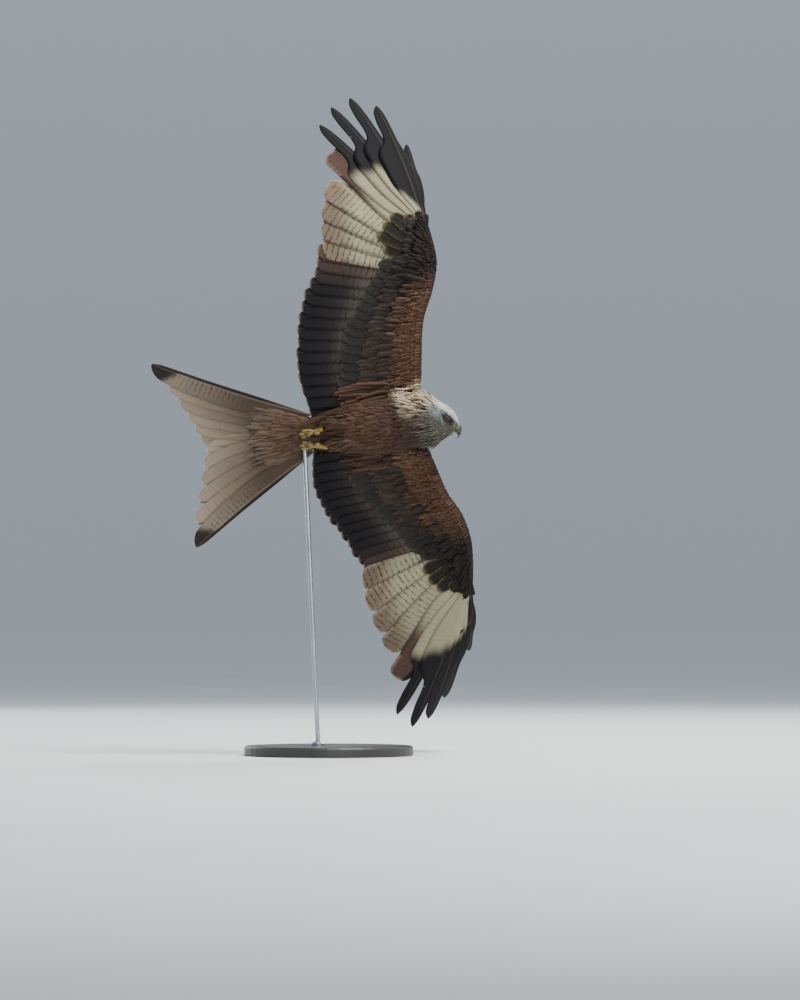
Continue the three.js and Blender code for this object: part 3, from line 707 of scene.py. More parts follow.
@dataclass
class Vane:
    """One flight feather, tail feather or large covert on a wing's or the tail's surface.

    Args:
        root: Plan place of the root, x and reach.
        aim: Angle of the chord from straight out towards straight back, in degrees.
        length: From root to tip.
        lead: Width before the shaft.
        trail: Width behind the shaft.
        outline: Shares of both widths along the feather.
        turn: How far the shaft swings back from root to tip, in degrees.
        rise: How far the feather is bent up, in degrees.
        level: Height over the surface.
        root_level: Height of the root over the surface.
        rand: The feather's own random number.
        splits: Places along the trailing side where the barbs part.
    """

    root: tuple[float, float]
    aim: float
    length: float
    lead: float
    trail: float
    outline: Sequence[Sequence[float]]
    turn: float = 0.0
    rise: float = 0.0
    level: float = 0.0
    root_level: float | None = None
    rand: float = 0.5
    splits: tuple[float, ...] = ()

    def stations(self, cut: VaneCut) -> Array:
        """How far along each ring lies, denser at the rounded tip and at the splits.

        Args:
            cut: The rounding of its kind.

        Returns:
            Rising numbers from 0 to 1.
        """
        body = np.linspace(0, cut.rounding, cut.stations - 7)
        tip = cut.rounding + (1 - cut.rounding) * np.sin(np.linspace(0, np.pi / 2, 8)[1:] * 0.985)
        extra = [s + d for s in self.splits for d in (-0.0022, 0, 0.0022)]
        return np.unique(np.concatenate([body, tip, extra]))

    def build(self, place: Place, cut: VaneCut, paint: Paint) -> MeshData:
        """The feather as a closed thin shell.

        Args:
            place: Turns plan x, reach and height into bird points.
            cut: The thickness and rounding of its kind.
            paint: Gives the attributes from along, across, face and the feather.

        Returns:
            The mesh with its attributes.
        """
        t = self.stations(cut)
        rows = np.asarray(self.outline, float)
        lead_share = smooth_rows(rows[:, [0, 1]], t)[:, 0]
        trail_share = smooth_rows(rows[:, [0, 2]], t)[:, 0]
        past = np.clip((t - cut.rounding) / (1 - cut.rounding), 0, 1)
        rounded = np.sqrt(np.maximum(1 - past**2, 0.0009))
        for s in self.splits:
            trail_share = np.where(np.abs(t - s) < 0.001, trail_share * 0.62, trail_share)
        lead = self.lead * lead_share * rounded
        trail = self.trail * trail_share * rounded
        quill = cut.shaft * (0.25 + 0.75 * (1 - t) ** 0.7) * np.minimum(1, 0.3 + rounded)
        share = np.array([1, 0.7, 0.4, 0, 0, 0, -0.28, -0.52, -0.78, -1])
        ridge = np.array([0, 0, 0, 1, 0, -1, 0, 0, 0, 0])
        offset = np.where(share > 0, share * lead[:, None], -share * -trail[:, None])
        offset = offset + ridge * quill[:, None]
        across = share + ridge * 0.035
        start = math.radians(self.aim - self.turn / 2)
        swing = math.radians(self.turn) + 1e-6
        angle = (start + swing * t)[:, None]
        flat = self.length * math.cos(math.radians(self.rise))
        out = (np.sin(angle) - math.sin(start)) / swing * flat
        back = (math.cos(start) - np.cos(angle)) / swing * flat
        x = self.root[0] - back + offset * np.cos(angle)
        reach = self.root[1] + out + offset * np.sin(angle)
        low = self.level if self.root_level is None else self.root_level
        height = mix(self.level, low, (1 - t) ** 2) + self.length * math.sin(math.radians(self.rise)) * t**1.5
        middle = height[:, None] + offset * cut.slope - cut.cup * np.abs(offset)
        thick = mix(cut.thick, cut.thin, np.abs(share)) / 2
        bulge = np.where(share == 0, np.where(ridge == 0, 1.0, 0.25), 0.0) * quill[:, None] * 0.34
        grids = [place(x, reach, middle + s * (thick + bulge)) for s in (1, -1)]
        points = np.concatenate([g.reshape(-1, 3) for g in grids])
        full_t = np.tile(np.repeat(t, len(share)), 2)
        full_c = np.tile(np.tile(across, len(t)), 2)
        face = np.repeat([1.0, -1.0], len(t) * len(share))
        values = paint(full_t, full_c, face, self)
        values |= {"along": full_t, "across": full_c, "far": full_t * self.length,
                   "rand": np.full(len(full_t), self.rand)}
        return MeshData(points, shell_quads(len(t), len(share)), values=values).turned_out()


def shell_quads(rows: int, columns: int) -> Array:
    """The quads of two grids, top first, closed round their edges.

    Args:
        rows: Points along the grids.
        columns: Points across them.

    Returns:
        The quads.
    """
    index = np.arange(rows * columns).reshape(rows, columns)
    below = index + rows * columns
    top = [index[:-1, :-1], index[:-1, 1:], index[1:, 1:], index[1:, :-1]]
    low = [below[:-1, :-1], below[1:, :-1], below[1:, 1:], below[:-1, 1:]]
    faces = [np.stack(part, -1).reshape(-1, 4) for part in (top, low)]
    edges = [
        (index[:-1, 0], index[1:, 0], below[1:, 0], below[:-1, 0]),
        (index[1:, -1], index[:-1, -1], below[:-1, -1], below[1:, -1]),
        (index[0, 1:], index[0, :-1], below[0, :-1], below[0, 1:]),
        (index[-1, :-1], index[-1, 1:], below[-1, 1:], below[-1, :-1]),
    ]
    faces += [np.stack(edge, -1) for edge in edges]
    return np.concatenate(faces)


def settle_vanes(name: str, feathers: Sequence[MeshData], finish: Material, slot: str, node: str) -> None:
    """Makes one piece of large feathers, each with its own strip of the OFBake square.

    Args:
        name: The piece's name.
        feathers: The feathers.
        finish: Their material.
        slot: The record's material slot.
        node: The node that the piece replaces.
    """
    columns = math.ceil(math.sqrt(len(feathers) * 3.2))
    rows = math.ceil(len(feathers) / columns)
    for i, feather in enumerate(feathers):
        row, column = divmod(i, columns)
        face = np.repeat([0.0, 0.5], len(feather.points) // 2)
        u = (column + 0.04 + 0.42 * (feather.values["across"] * 0.5 + 0.5) + face) / columns
        v = (row + 0.03 + 0.94 * feather.values["along"]) / rows
        feather.values["OFBake"] = np.column_stack([u, v])
    settle(make_object(name, MeshData.joined(feathers), finish), slot, node)


@dataclass(frozen=True)
class WingPlan:
    """One wing laid flat, and how it bends up along its reach.

    Args:
        side: The bird's left or right.
        bend: Slope in degrees at each reach.
        front: The leading edge.
        wrist: Where the primaries start.
        hand_tip: Where the outermost primary is rooted.
        root_row: Roots of the secondaries, outermost first.
        trailing: Tips of the secondaries, outermost first.
        fan: Aim of each primary, innermost first.
        rise: How far each primary is bent up.
        stretch: How long each primary shows beside its full length.
        patch: How much of each primary its covert hides from below.
    """

    side: Side
    bend: Curve
    front: Curve
    wrist: tuple[float, float]
    hand_tip: tuple[float, float]
    root_row: Curve
    trailing: Curve
    fan: tuple[float, ...]
    rise: tuple[float, ...]
    stretch: tuple[float, ...]
    patch: tuple[float, ...]


LEFT_WING = WingPlan(
    side=Side.LEFT,
    bend=((0, 4), (60, 8), (250, 9), (340, 12), (450, 19), (600, 28), (760, 36), (900, 40)),
    front=((118, 20), (150, 66), (161, 100), (184, 176), (212, 232), (225, 290), (224, 345), (216, 412),
           (209, 436)),
    wrist=(212, 318), hand_tip=(208, 416),
    root_row=((198, 306), (146, 226), (96, 148), (76, 50)),
    trailing=((-20, 354), (-42, 305), (-72, 240), (-110, 165), (-122, 115), (-112, 46)),
    fan=(79, 68, 56, 44.5, 33, 28, 22, 17, 13, 4),
    rise=(0, 0, 0, 0, 0, 0, 0, 4, 8, 16),
    stretch=(1, 1, 1, 0.98, 1, 1.01, 1, 1.01, 1.02, 1),
    patch=(0.42, 0.4, 0.34, 0.23, 0.14, 0.1, 0.08, 0.07, 0.06),
)
RIGHT_WING = WingPlan(
    side=Side.RIGHT,
    bend=((0, 4), (60, 8), (250, 9), (340, 15), (450, 26), (600, 40), (760, 52), (900, 56)),
    front=((118, 20), (148, 70), (156, 120), (172, 222), (199, 286), (216, 345), (214, 392), (204, 452),
           (199, 474)),
    wrist=(203, 352), hand_tip=(197, 450),
    root_row=((190, 340), (134, 244), (92, 158), (74, 52)),
    trailing=((-49, 410), (-66, 362), (-98, 292), (-123, 200), (-126, 150), (-112, 48)),
    fan=(73, 65, 57, 48, 35, 32, 25, 18.5, 12.3, 5),
    rise=(0, 0, 0, 0, 0, 0, 0, 0, 0, 3),
    stretch=(1, 1, 1, 0.97, 0.99, 0.965, 0.97, 1, 1, 1),
    patch=(0.48, 0.49, 0.46, 0.37, 0.23, 0.14, 0.1, 0.08, 0.07),
)


@dataclass(frozen=True)
class WingSizes:
    """Sizes that both wings share, in millimetres."""

    shoulder: float = 18.0
    camber: float = 22.0
    camber_from: float = 130.0
    camber_span: float = 250.0
    arm_depth: float = 19.0
    hand_depth: float = 15.0
    tip_depth: float = 8.0
    arm_tail: float = 26.0
    hand_tail: float = 14.0
    primaries: tuple[float, ...] = (250, 258, 268, 290, 334, 420, 446, 432, 370, 226)
    fingers: int = 6
    primary_width: float = 64.0
    outer_width: float = 40.0
    lead_share: float = 0.27
    root_spread: float = 8.0
    secondaries: int = 15
    secondary_width: float = 44.0


WING = WingSizes()


class WingSurface:
    """The flat plan bent up along its reach and arched from front to back."""

    STEP = 10.0

    def __init__(self, plan: WingPlan) -> None:
        """Works out the bend's table for one wing.

        Args:
            plan: The wing's plan.
        """
        self.plan = plan
        table = [(0.0, WING.shoulder)]
        for reach in np.arange(0, plan.bend[-1][0], self.STEP):
            slope = float(self.slope(reach + self.STEP / 2))
            y, z = table[-1]
            table.append((y + self.STEP * math.cos(slope), z + self.STEP * math.sin(slope)))
        self.table = np.array(table)

    def slope(self, reach: Array | float) -> Array:
        """The slope at a reach, in radians."""
        rows = np.array(self.plan.bend, float)
        return np.radians(np.interp(reach, rows[:, 0], rows[:, 1]))

    def place(self, x: Array, reach: Array, height: Array) -> Array:
        """Bird points from plan places.

        Args:
            x: Plan x.
            reach: Reach along the wing.
            height: Height over the surface.

        Returns:
            The points.
        """
        i = np.clip(np.floor(reach / self.STEP).astype(int), 0, len(self.table) - 2)
        part = reach / self.STEP - i
        slope = self.slope(np.maximum(0, reach))
        back = np.maximum(0, WING.camber_from - x) / WING.camber_span
        flatter = 1 - 0.6 * ease(reach, 300, 600)
        lifted = height - WING.camber * back * back * flatter
        y = mix(self.table[i, 0], self.table[i + 1, 0], part) - lifted * np.sin(slope)
        z = mix(self.table[i, 1], self.table[i + 1, 1], part) + lifted * np.cos(slope)
        return np.stack(np.broadcast_arrays(x, self.plan.side.value * y, z), -1)

    def chord(self, reach: Array) -> tuple[Array, Array, Array]:
        """The core's section at each reach.

        Args:
            reach: Reaches.

        Returns:
            Front, rear and depth.
        """
        plan = self.plan
        row = list(plan.root_row)[::-1] + [plan.wrist, plan.hand_tip]
        front = plan_x(plan.front, reach)
        out = ease(reach, plan.wrist[1] - 40, plan.hand_tip[1])
        behind = mix(WING.arm_tail, WING.hand_tail, out)
        rear = np.minimum(plan_x(row, np.minimum(reach, plan.hand_tip[1])) - behind, front - 12)
        depth = mix(WING.arm_depth, WING.hand_depth, ease(reach, 60, plan.wrist[1]))
        depth = mix(depth, WING.tip_depth, ease(reach, plan.wrist[1] + 30, plan.front[-1][1]))
        return front, rear, depth

    def half_depth(self, at: Array) -> Array:
        """The core's half depth over its whole depth, from its front at 0 to its rear at 1."""
        nose = 0.5 * np.sqrt(np.clip(1 - ((0.4 - np.minimum(at, 0.4)) / 0.4) ** 2, 0, 1))
        return np.where(at < 0.4, nose, mix(0.5, 0.16, ease(at, 0.4, 1)))

    def core(self, inset: float) -> MeshData:
        """The arm and hand under their feathers.

        Args:
            inset: How far the skin lies inside the solid's core.

        Returns:
            The closed core.
        """
        plan = self.plan
        reach = np.linspace(plan.front[0][1], plan.front[-1][1] - 2, 60)
        front, rear, depth = self.chord(reach)
        nose = (1 - np.cos(np.linspace(0, np.pi, 12))) / 2
        at = np.concatenate([nose, nose[-2:0:-1]])
        sign = np.concatenate([np.ones(12), -np.ones(10)])
        high = sign * np.maximum(self.half_depth(at)[None] * depth[:, None] - inset, 0.4)
        x = mix((front - inset)[:, None], (rear + inset)[:, None], at[None])
        return loft(self.place(x, np.broadcast_to(reach[:, None], x.shape), high))

    def aim(self, reach: Array) -> Array:
        """Where the small coverts point at each reach, in degrees from straight out."""
        wrist, tip = self.plan.wrist[1], self.plan.hand_tip[1]
        return np.interp(reach, [0, 60, wrist - 60, wrist, tip, tip + 60], [96, 92, 80, 62, 34, 14])


@dataclass(frozen=True)
class FlightInks:
    """Colours of the flight feathers, as hex colours; rim is painted light shining through the thin tips."""

    black: str = "110F12"
    brown: str = "211B1A"
    window: str = "938D72"
    window_edge: str = "A39C82"
    tip_brown: str = "5E493D"
    thumb_brown: str = "45302A"
    # Reddish pale tips: painted light shining through the feathers.
    rim: str = "A58C7A"
    grey: str = "4C4740"
    upper: str = "2E2520"
    upper_pale: str = "6E6052"
    arm_above: tuple[str, str] = ("33291F", "7A6048")
    arm_below: tuple[str, str] = ("24211E", "39342E")
    hand_above: tuple[str, str] = ("29211D", "4F4136")
    hand_below: tuple[str, str] = ("191613", "75633F")
    alula: tuple[str, str] = ("231C19", "3E342D")


class Wing:
    """One wing's flight feathers and large coverts."""

    GREATER_COVERTS = 17
    PRIMARY_COVERTS = 9
    ALULA_FEATHERS = 4

    def __init__(self, plan: WingPlan, rng: Random) -> None:
        """Keeps the plan, its surface and a seeded source of variation.

        Args:
            plan: The wing's plan.
            rng: The source of variation.
        """
        self.plan = plan
        self.surface = WingSurface(plan)
        self.rng = rng
        self.inks = FlightInks()
        self.node = f"wing_{plan.side.name.lower()}"

    def split_places(self, chance: float) -> tuple[float, ...]:
        """Where the barbs of one feather part, if they do.

        Args:
            chance: How likely it is.

        Returns:
            Places along the feather.
        """
        if self.rng.random() > chance:
            return ()
        return tuple(np.round(self.rng.uniform(0.45, 0.88, self.rng.integers(1, 3)), 4))

    def primaries(self) -> list[Vane]:
        """The ten primaries, innermost first.

        Returns:
            The feathers.
        """
        made = []
        count = len(WING.primaries)
        for i, length in enumerate(WING.primaries):
            at = (i + 0.5) / count
            finger = i + 1 >= WING.fingers
            width = WING.outer_width if i == count - 1 else WING.primary_width
            made.append(Vane(
                self.hand_root(at), self.plan.fan[i], length * self.plan.stretch[i], width * WING.lead_share,
                width * (1 - WING.lead_share), FINGER if finger else BROAD, turn=4 if finger else 9,
                rise=self.plan.rise[i], root_level=WING.root_spread * (0.5 - at), rand=self.rng.random(),
                splits=self.split_places(0.6 if i < 8 else 0.0),
            ))
        return made

    def hand_root(self, at: float) -> tuple[float, float]:
        """A root on the hand, from the wrist at 0 to its tip at 1."""
        return tuple(mix(np.array(self.plan.wrist), np.array(self.plan.hand_tip), at))

    def arm_places(self, at: Array) -> Iterator[tuple[tuple[float, float], float, float]]:
        """Root, aim and length of secondaries along the arm.

        Args:
            at: Their places, from 0 at the wrist to 1 at the body.

        Yields:
            The three values of each.
        """
        for root, tip in zip(along_path(self.plan.root_row, at), along_path(self.plan.trailing, at)):
            run = tip - root
            yield tuple(root), math.degrees(math.atan2(-run[0], run[1])), float(np.hypot(*run))

    def secondaries(self) -> list[Vane]:
        """The secondaries, outermost first.

        Returns:
            The feathers.
        """
        return [
            Vane(root, aim, length * self.rng.uniform(0.985, 1.012), WING.secondary_width * 0.36,
                 WING.secondary_width * 0.64, BROAD, turn=8, rand=self.rng.random(),
                 splits=self.split_places(0.4))
            for root, aim, length in self.arm_places(np.linspace(0, 1, WING.secondaries))
        ]

    def paint_primary(self, number: int) -> Paint:
        """The paint of one primary: a pale window at its base and a dark end.

        Args:
            number: The primary's number, 0 for the innermost.

        Returns:
            The paint.
        """
        inks = self.inks
        dark_from = np.interp(number, [0, 4, 5, 6, 7, 8, 9], [1.4, 1.4, 0.54, 0.44, 0.4, 0.19, -0.1])
        slant = np.interp(number, [4, 5, 6, 7, 8, 9], [0, 0.04, 0.06, 0.09, 0.16, 0.2])
        barring = np.interp(number, [0, 3, 5, 9], [0.8, 0.65, 0.2, 0.05])
        thumb = number == WING.fingers - 2

        def paint(t: Array, c: Array, face: Array, vane: Vane) -> dict[str, Array]:
            """Colours a feather.

            Args:
                t: How far along each point lies.
                c: How far across.
                face: 1 above and -1 below.
                vane: The feather.

            Returns:
                Tint, dark and bars.
            """
            shift = slant * (c + 0.6) + 0.012 * np.sin(c * 9 + vane.rand * 6)
            window = blend(inks.window, inks.window_edge, ease(c, 0.1, 0.9) * 0.5)
            if number < WING.fingers - 1:
                brown_from = 0.48 if thumb else 0.68
                browned = ease(t - 0.1 * c, brown_from, brown_from + 0.26) * (0.97 if thumb else 0.8)
                window = blend(window, inks.thumb_brown if thumb else inks.tip_brown, browned)
                # Lighter tips of the inner primaries: painted light shining through them.
                rim = ease(np.maximum(t, 0.93 + 0.07 * np.abs(c) ** 10), 0.975, 1.0)
                window = blend(window, inks.rim, rim * (t > 0.8) * 0.8)
            end = ease(t + shift, dark_from - 0.02, dark_from + 0.07)
            if thumb:
                end = ease(t + 0.45 * c, 0.9, 1.04)
            below = blend(window, inks.black, end)
            outer = ease(c, 0.05, 0.5) * ease(number, 4, 8)
            above = blend(inks.upper_pale, inks.upper, ease(t, 0.1, 0.55))
            above = blend(above, inks.black, np.maximum(end, outer))
            bars = np.where(face > 0, 0.25, barring)
            bars = bars * (1 - end) * ease(t, 0.22, 0.4) * (0.4 + 0.6 * (c < 0.1))
            tint = np.where(face[:, None] > 0, above, below)
            return {"tint": tint, "dark": plain(colour(inks.brown) * 1.25, len(t)), "bars": bars}

        return paint

    def paint_secondary(self, t: Array, c: Array, face: Array, vane: Vane) -> dict[str, Array]:
        """The paint of a secondary: blackish, with faint grey bars towards its base.

        Args:
            t: How far along each point lies.
            c: How far across.
            face: 1 above and -1 below.
            vane: The feather.

        Returns:
            Its attributes.
        """
        inks = self.inks
        below = blend(inks.grey, inks.brown, ease(t, 0.35, 0.72))
        below = blend(below, inks.black, ease(t, 0.6, 0.9))
        outermost = ease(vane.root[1], self.plan.wrist[1] - 70, self.plan.wrist[1])
        below = blend(below, inks.tip_brown, outermost * 0.5)
        above = blend(inks.upper_pale, inks.upper, ease(t, 0.1, 0.5))
        # A lighter tip: painted light shining through the feather.
        tint = blend(np.where(face[:, None] > 0, above, below), inks.rim, ease(t, 0.975, 1.0) * 0.5)
        bars = 0.75 * ease(t, 0.15, 0.3) * (1 - ease(t, 0.7, 0.95))
        return {"tint": tint, "dark": plain(inks.black, len(t)), "bars": bars}

    def paint_covert(self, ground: str, rim: str) -> Paint:
        """The paint of a large covert: one ground with a paler rim.

        Args:
            ground: Hex colour of its middle.
            rim: Hex colour of its rim.

        Returns:
            The paint.
        """

        def paint(t: Array, c: Array, face: Array, vane: Vane) -> dict[str, Array]:
            """Colours a feather.

            Args:
                t: How far along each point lies.
                c: How far across.
                face: 1 above and -1 below.
                vane: The feather.

            Returns:
                Tint, dark and bars.
            """
            edge = ease(np.abs(c), 0.72, 1.0) * ease(t, 0.3, 0.7)
            tint = blend(ground, rim, np.maximum(edge, ease(t, 0.9, 1.0)) * 0.75)
            bars = 0.7 * ease(t, 0.2, 0.4) * (1 - ease(t, 0.85, 1.0))
            return {"tint": tint, "dark": plain(colour(ground) * 0.45, len(t)), "bars": bars}

        return paint

    def flight_feathers(self, finish: Material) -> None:
        """All flight feathers of the wing as one piece.

        Args:
            finish: Their material.
        """
        place = self.surface.place
        parts = [v.build(place, FLIGHT_CUT, self.paint_primary(i)) for i, v in enumerate(self.primaries())]
        parts += [v.build(place, FLIGHT_CUT, self.paint_secondary) for v in self.secondaries()]
        settle_vanes(f"{self.node}_flight_feathers", parts, finish, "feather_dark", self.node)

    def face_coverts(self, face: Face) -> list[MeshData]:
        """The greater coverts and the primary coverts of one face.

        Args:
            face: The face.

        Returns:
            The coverts.
        """
        inks, plan, sign = self.inks, self.plan, face.value
        above = face is Face.ABOVE
        parts = []
        paint = self.paint_covert(*(inks.arm_above if above else inks.arm_below))
        places = (np.arange(self.GREATER_COVERTS) + 0.5) / self.GREATER_COVERTS
        for at, (root, aim, length) in zip(places, self.arm_places(places)):
            shown = 0.48 if above else mix(0.43, 0.62, at)
            parts.append(Vane(
                root, aim, length * shown * self.rng.uniform(0.95, 1.05), 14, 17, COVERT,
                level=sign * 3.6, root_level=sign * 4.4, rand=self.rng.random(), turn=6,
            ).build(self.surface.place, COVERT_CUT, paint))
        paint = self.paint_covert(*(inks.hand_above if above else inks.hand_below))
        for k in range(self.PRIMARY_COVERTS):
            step = (k + 0.5) / self.PRIMARY_COVERTS
            length = mix(WING.primaries[k], WING.primaries[k + 1], 0.5) * (0.33 if above else plan.patch[k])
            narrow = (1.0 if above else 1.15) - 0.35 * step
            parts.append(Vane(
                self.hand_root(step), mix(plan.fan[k], plan.fan[k + 1], 0.5),
                length * self.rng.uniform(0.92, 1.06), 15 * narrow, 18 * narrow, COVERT,
                level=sign * 4.2, root_level=sign * 4.8, rand=self.rng.random(), turn=5,
            ).build(self.surface.place, COVERT_CUT, paint))
        return parts

    def large_coverts(self, finish: Material) -> None:
        """The greater coverts, the primary coverts and the thumb feathers as one piece.

        Args:
            finish: Their material.
        """
        parts = [part for face in Face for part in self.face_coverts(face)]
        x, reach = self.plan.wrist
        for k in range(self.ALULA_FEATHERS):
            parts.append(Vane(
                (x + 2, reach + 6 + 4 * k), 18 - 4 * k, 60 + 11 * k, 7, 10, COVERT,
                level=7.5 - 1.1 * k, rand=self.rng.random(),
            ).build(self.surface.place, COVERT_CUT, self.paint_covert(*self.inks.alula)))
        settle_vanes(f"{self.node}_greater_coverts", parts, finish, "feather_dark", self.node)


@dataclass(frozen=True)
class TailPlan:
    """The forked tail fan, in millimetres and degrees."""

    root_x: float = -108.0
    root_z: float = 9.0
    root_half: float = 42.0
    root_drop: float = -0.8
    middle: float = -1.2
    turn: float = -8.0
    droop: float = 0.00016
    right_fan: float = 23.0
    left_fan: float = 34.0
    right_lengths: tuple[float, ...] = (246, 259, 276, 298, 327, 374)
    left_lengths: tuple[float, ...] = (236, 249, 265, 286, 314, 344)
    widths: tuple[float, ...] = (42, 46, 46, 46, 46, 44)

    def place(self, x: Array, y: Array, height: Array) -> Array:
        """Bird points from the tail's plan and a height over it."""
        z = self.root_z + height - self.droop * y * y
        return np.stack(np.broadcast_arrays(x, y, z), -1)


@dataclass(frozen=True)
class TailInks:
    """Colours of the tail feathers, as hex colours; the paler tips are painted light shining through."""

    below: str = "7C6F60"
    below_inner: str = "66554A"
    below_base: str = "45362B"
    # Paler towards the tip below: painted light shining through the feather.
    below_tip: str = "998874"
    above: str = "8A563A"
    above_inner: str = "704531"
    corner: str = "1C1617"
    # A pale edge at the tip: painted light shining through the feather.
    fringe: str = "DCC7B4"
    bar: str = "2E211B"


class Tail:
    """The twelve tail feathers."""

    OUTERMOST = 5

    def __init__(self, rng: Random) -> None:
        """Keeps the plan and the colours.

        Args:
            rng: Seeded source of variation.
        """
        self.plan = TailPlan()
        self.inks = TailInks()
        self.rng = rng

    def paint(self, number: int) -> Paint:
        """The paint of one tail feather.

        Args:
            number: The feather's number from the middle.

        Returns:
            The paint.
        """
        inks = self.inks
        outermost = number == self.OUTERMOST
        black_from = 0.985 - 0.18 * outermost
        barred = float(np.interp(number, [0, 3, 4, 5], [0.16, 0.2, 0.45, 0.75]))

        def paint(t: Array, c: Array, face: Array, vane: Vane) -> dict[str, Array]:
            """Colours a feather.

            Args:
                t: How far along each point lies.
                c: How far across.
                face: 1 above and -1 below.
                vane: The feather.

            Returns:
                Tint, dark and bars.
            """
            below = blend(inks.below, inks.below_inner, ease(c, -0.3, 1) * 0.8)
            below = blend(below, inks.below_base, (1 - ease(t, 0.3, 0.82)) * 0.95)
            # Paler towards the tip: painted light shining through the feather.
            below = blend(below, inks.below_tip, ease(t, 0.7, 0.97) * 0.75)
            above = blend(inks.above, inks.above_inner, ease(c, -0.2, 0.9) * 0.7)
            tint = np.where(face[:, None] > 0, above, below)
            corner = ease(t + 0.07 * c, black_from, black_from + 0.06) * (number > 2)
            outer = ease(c, 0.0, 0.3) * outermost * ease(t, 0.12, 0.3)
            tint = blend(tint, inks.corner, np.maximum(corner * 0.95, outer * 0.9))
            # A pale edge at the tip: painted light shining through the feather.
            tint = blend(tint, inks.fringe, ease(t, 0.985, 1) * (1 - corner) * 0.7)
            bars = barred * ease(t, 0.25, 0.45) * (1 - ease(t, 0.84, 0.96)) * ease(c, -0.95, -0.35)
            bars = bars * np.where(c < 0.15, 1, 0.4) * np.where(face > 0, 0.6, 1.0)
            return {"tint": tint, "dark": plain(inks.bar, len(t)), "bars": bars}

        return paint

    def half(self, side: Side) -> list[MeshData]:
        """The six feathers of one side, from the middle out.

        Args:
            side: The side.

        Returns:
            The feathers.
        """
        plan = self.plan
        left = side is Side.LEFT
        lengths, fan = (plan.left_lengths, plan.left_fan) if left else (plan.right_lengths, plan.right_fan)

        def place(x: Array, y: Array, height: Array) -> Array:
            """The tail's plan on one side."""
            return plan.place(x, side.value * y, height)

        parts = []
        for i, length in enumerate(lengths):
            at = (i + 0.55) / (len(lengths) - 0.45)
            ahead = 0.2 if i == self.OUTERMOST else 0.34
            parts.append(Vane(
                (plan.root_x - 6 * (1 - at), plan.root_half * at), 90 - side.value * plan.middle - fan * at,
                length, plan.widths[i] * ahead, plan.widths[i] * (1 - ahead), TAPER, turn=plan.turn * at,
                level=0.0 if i or left else 0.9, root_level=plan.root_drop * i, rand=self.rng.random(),
                splits=tuple(np.round(self.rng.uniform(0.5, 0.9, 2), 4)),
            ).build(place, FLIGHT_CUT, self.paint(i)))
        return parts

    def build(self, finish: Material) -> None:
        """Makes the tail feathers as one piece."""
        parts = [part for side in Side for part in self.half(side)]
        settle_vanes("tail_feathers", parts, finish, "feather_tail", "tail")


@dataclass(frozen=True)
class BodyPlan:
    """Rings of the torso, the neck and the skull, and the thighs, in millimetres.

    The torso's and neck's rows give x, middle y, middle z, half width and half depth. The
    skull's rows, in the head's frame, give forward, middle up, half width and half height.
    """

    torso: tuple[tuple[float, ...], ...] = (
        (-156, 0, 9, 17, 10), (-136, 0, 8, 27, 18), (-104, 0, 4, 39, 30), (-62, 0, -1, 50, 42),
        (-12, 0, -6, 59, 52), (42, 0, -8, 63, 57), (92, 0, -4, 63, 54), (130, 2, 2, 60, 47),
        (150, 2, 5, 60, 42), (168, 3.5, 7, 56, 36), (184, 5.2, 8, 45.8, 26.5), (196, 8.2, 8, 37.4, 17),
        (205, 17, 8, 25, 12), (210, 27, 8, 11.5, 6),
    )
    skull: tuple[tuple[float, ...], ...] = (
        (-47, -5, 9, 11), (-38, -6, 16.5, 20), (-22, -5, 22.5, 26), (-8, -3.5, 23, 27),
        (6, -0.5, 20.5, 23.5), (17, 0.6, 16.5, 19.6), (26, -0.2, 12.4, 15.2), (33, -1.8, 9.2, 11.8),
    )
    head: tuple[float, float, float] = (193, -2, 8)
    nod: float = 46.0
    thigh: tuple[float, float, float] = (-46, 25, -41)
    thigh_size: tuple[float, float, float] = (40, 20, 17)
    thigh_lean: float = 10.0

    def head_frame(self) -> tuple[Array, Array]:
        """The head's place and axes.

        Returns:
            The place, and forward, left and up as rows.
        """
        turn = math.radians(self.nod)
        forward = np.array([math.cos(turn), math.sin(turn), 0])
        left = np.array([0.0, 0.0, 1.0])
        return np.array(self.head, float), np.stack([forward, left, np.cross(forward, left)])

    def from_head(self, points: Array) -> Array:
        """Bird points from forward, left and up in the head's frame."""
        place, axes = self.head_frame()
        return place + points @ axes

    def to_head(self, points: Array) -> Array:
        """Forward, left and up in the head's frame from bird points."""
        place, axes = self.head_frame()
        return (points - place) @ axes.T


BODY_PLAN = BodyPlan()


@dataclass(frozen=True)
class EyePlan:
    """Where an eye sits in the head's frame, and its size."""

    forward: float = 2.0
    side: float = 14.8
    up: float = 2.0
    radius: float = 7.2
    dish: tuple[float, float] = (12.5, 9.0)
    bare: tuple[float, float] = (8.2, 6.4)

    def ring(self, f: Array, up: Array, size: tuple[float, float]) -> Array:
        """How far points lie from the eye's middle, squared, with 1 at half axes of that size."""
        return ((f - self.forward) / size[0]) ** 2 + ((up - self.up) / size[1]) ** 2


EYE = EyePlan()


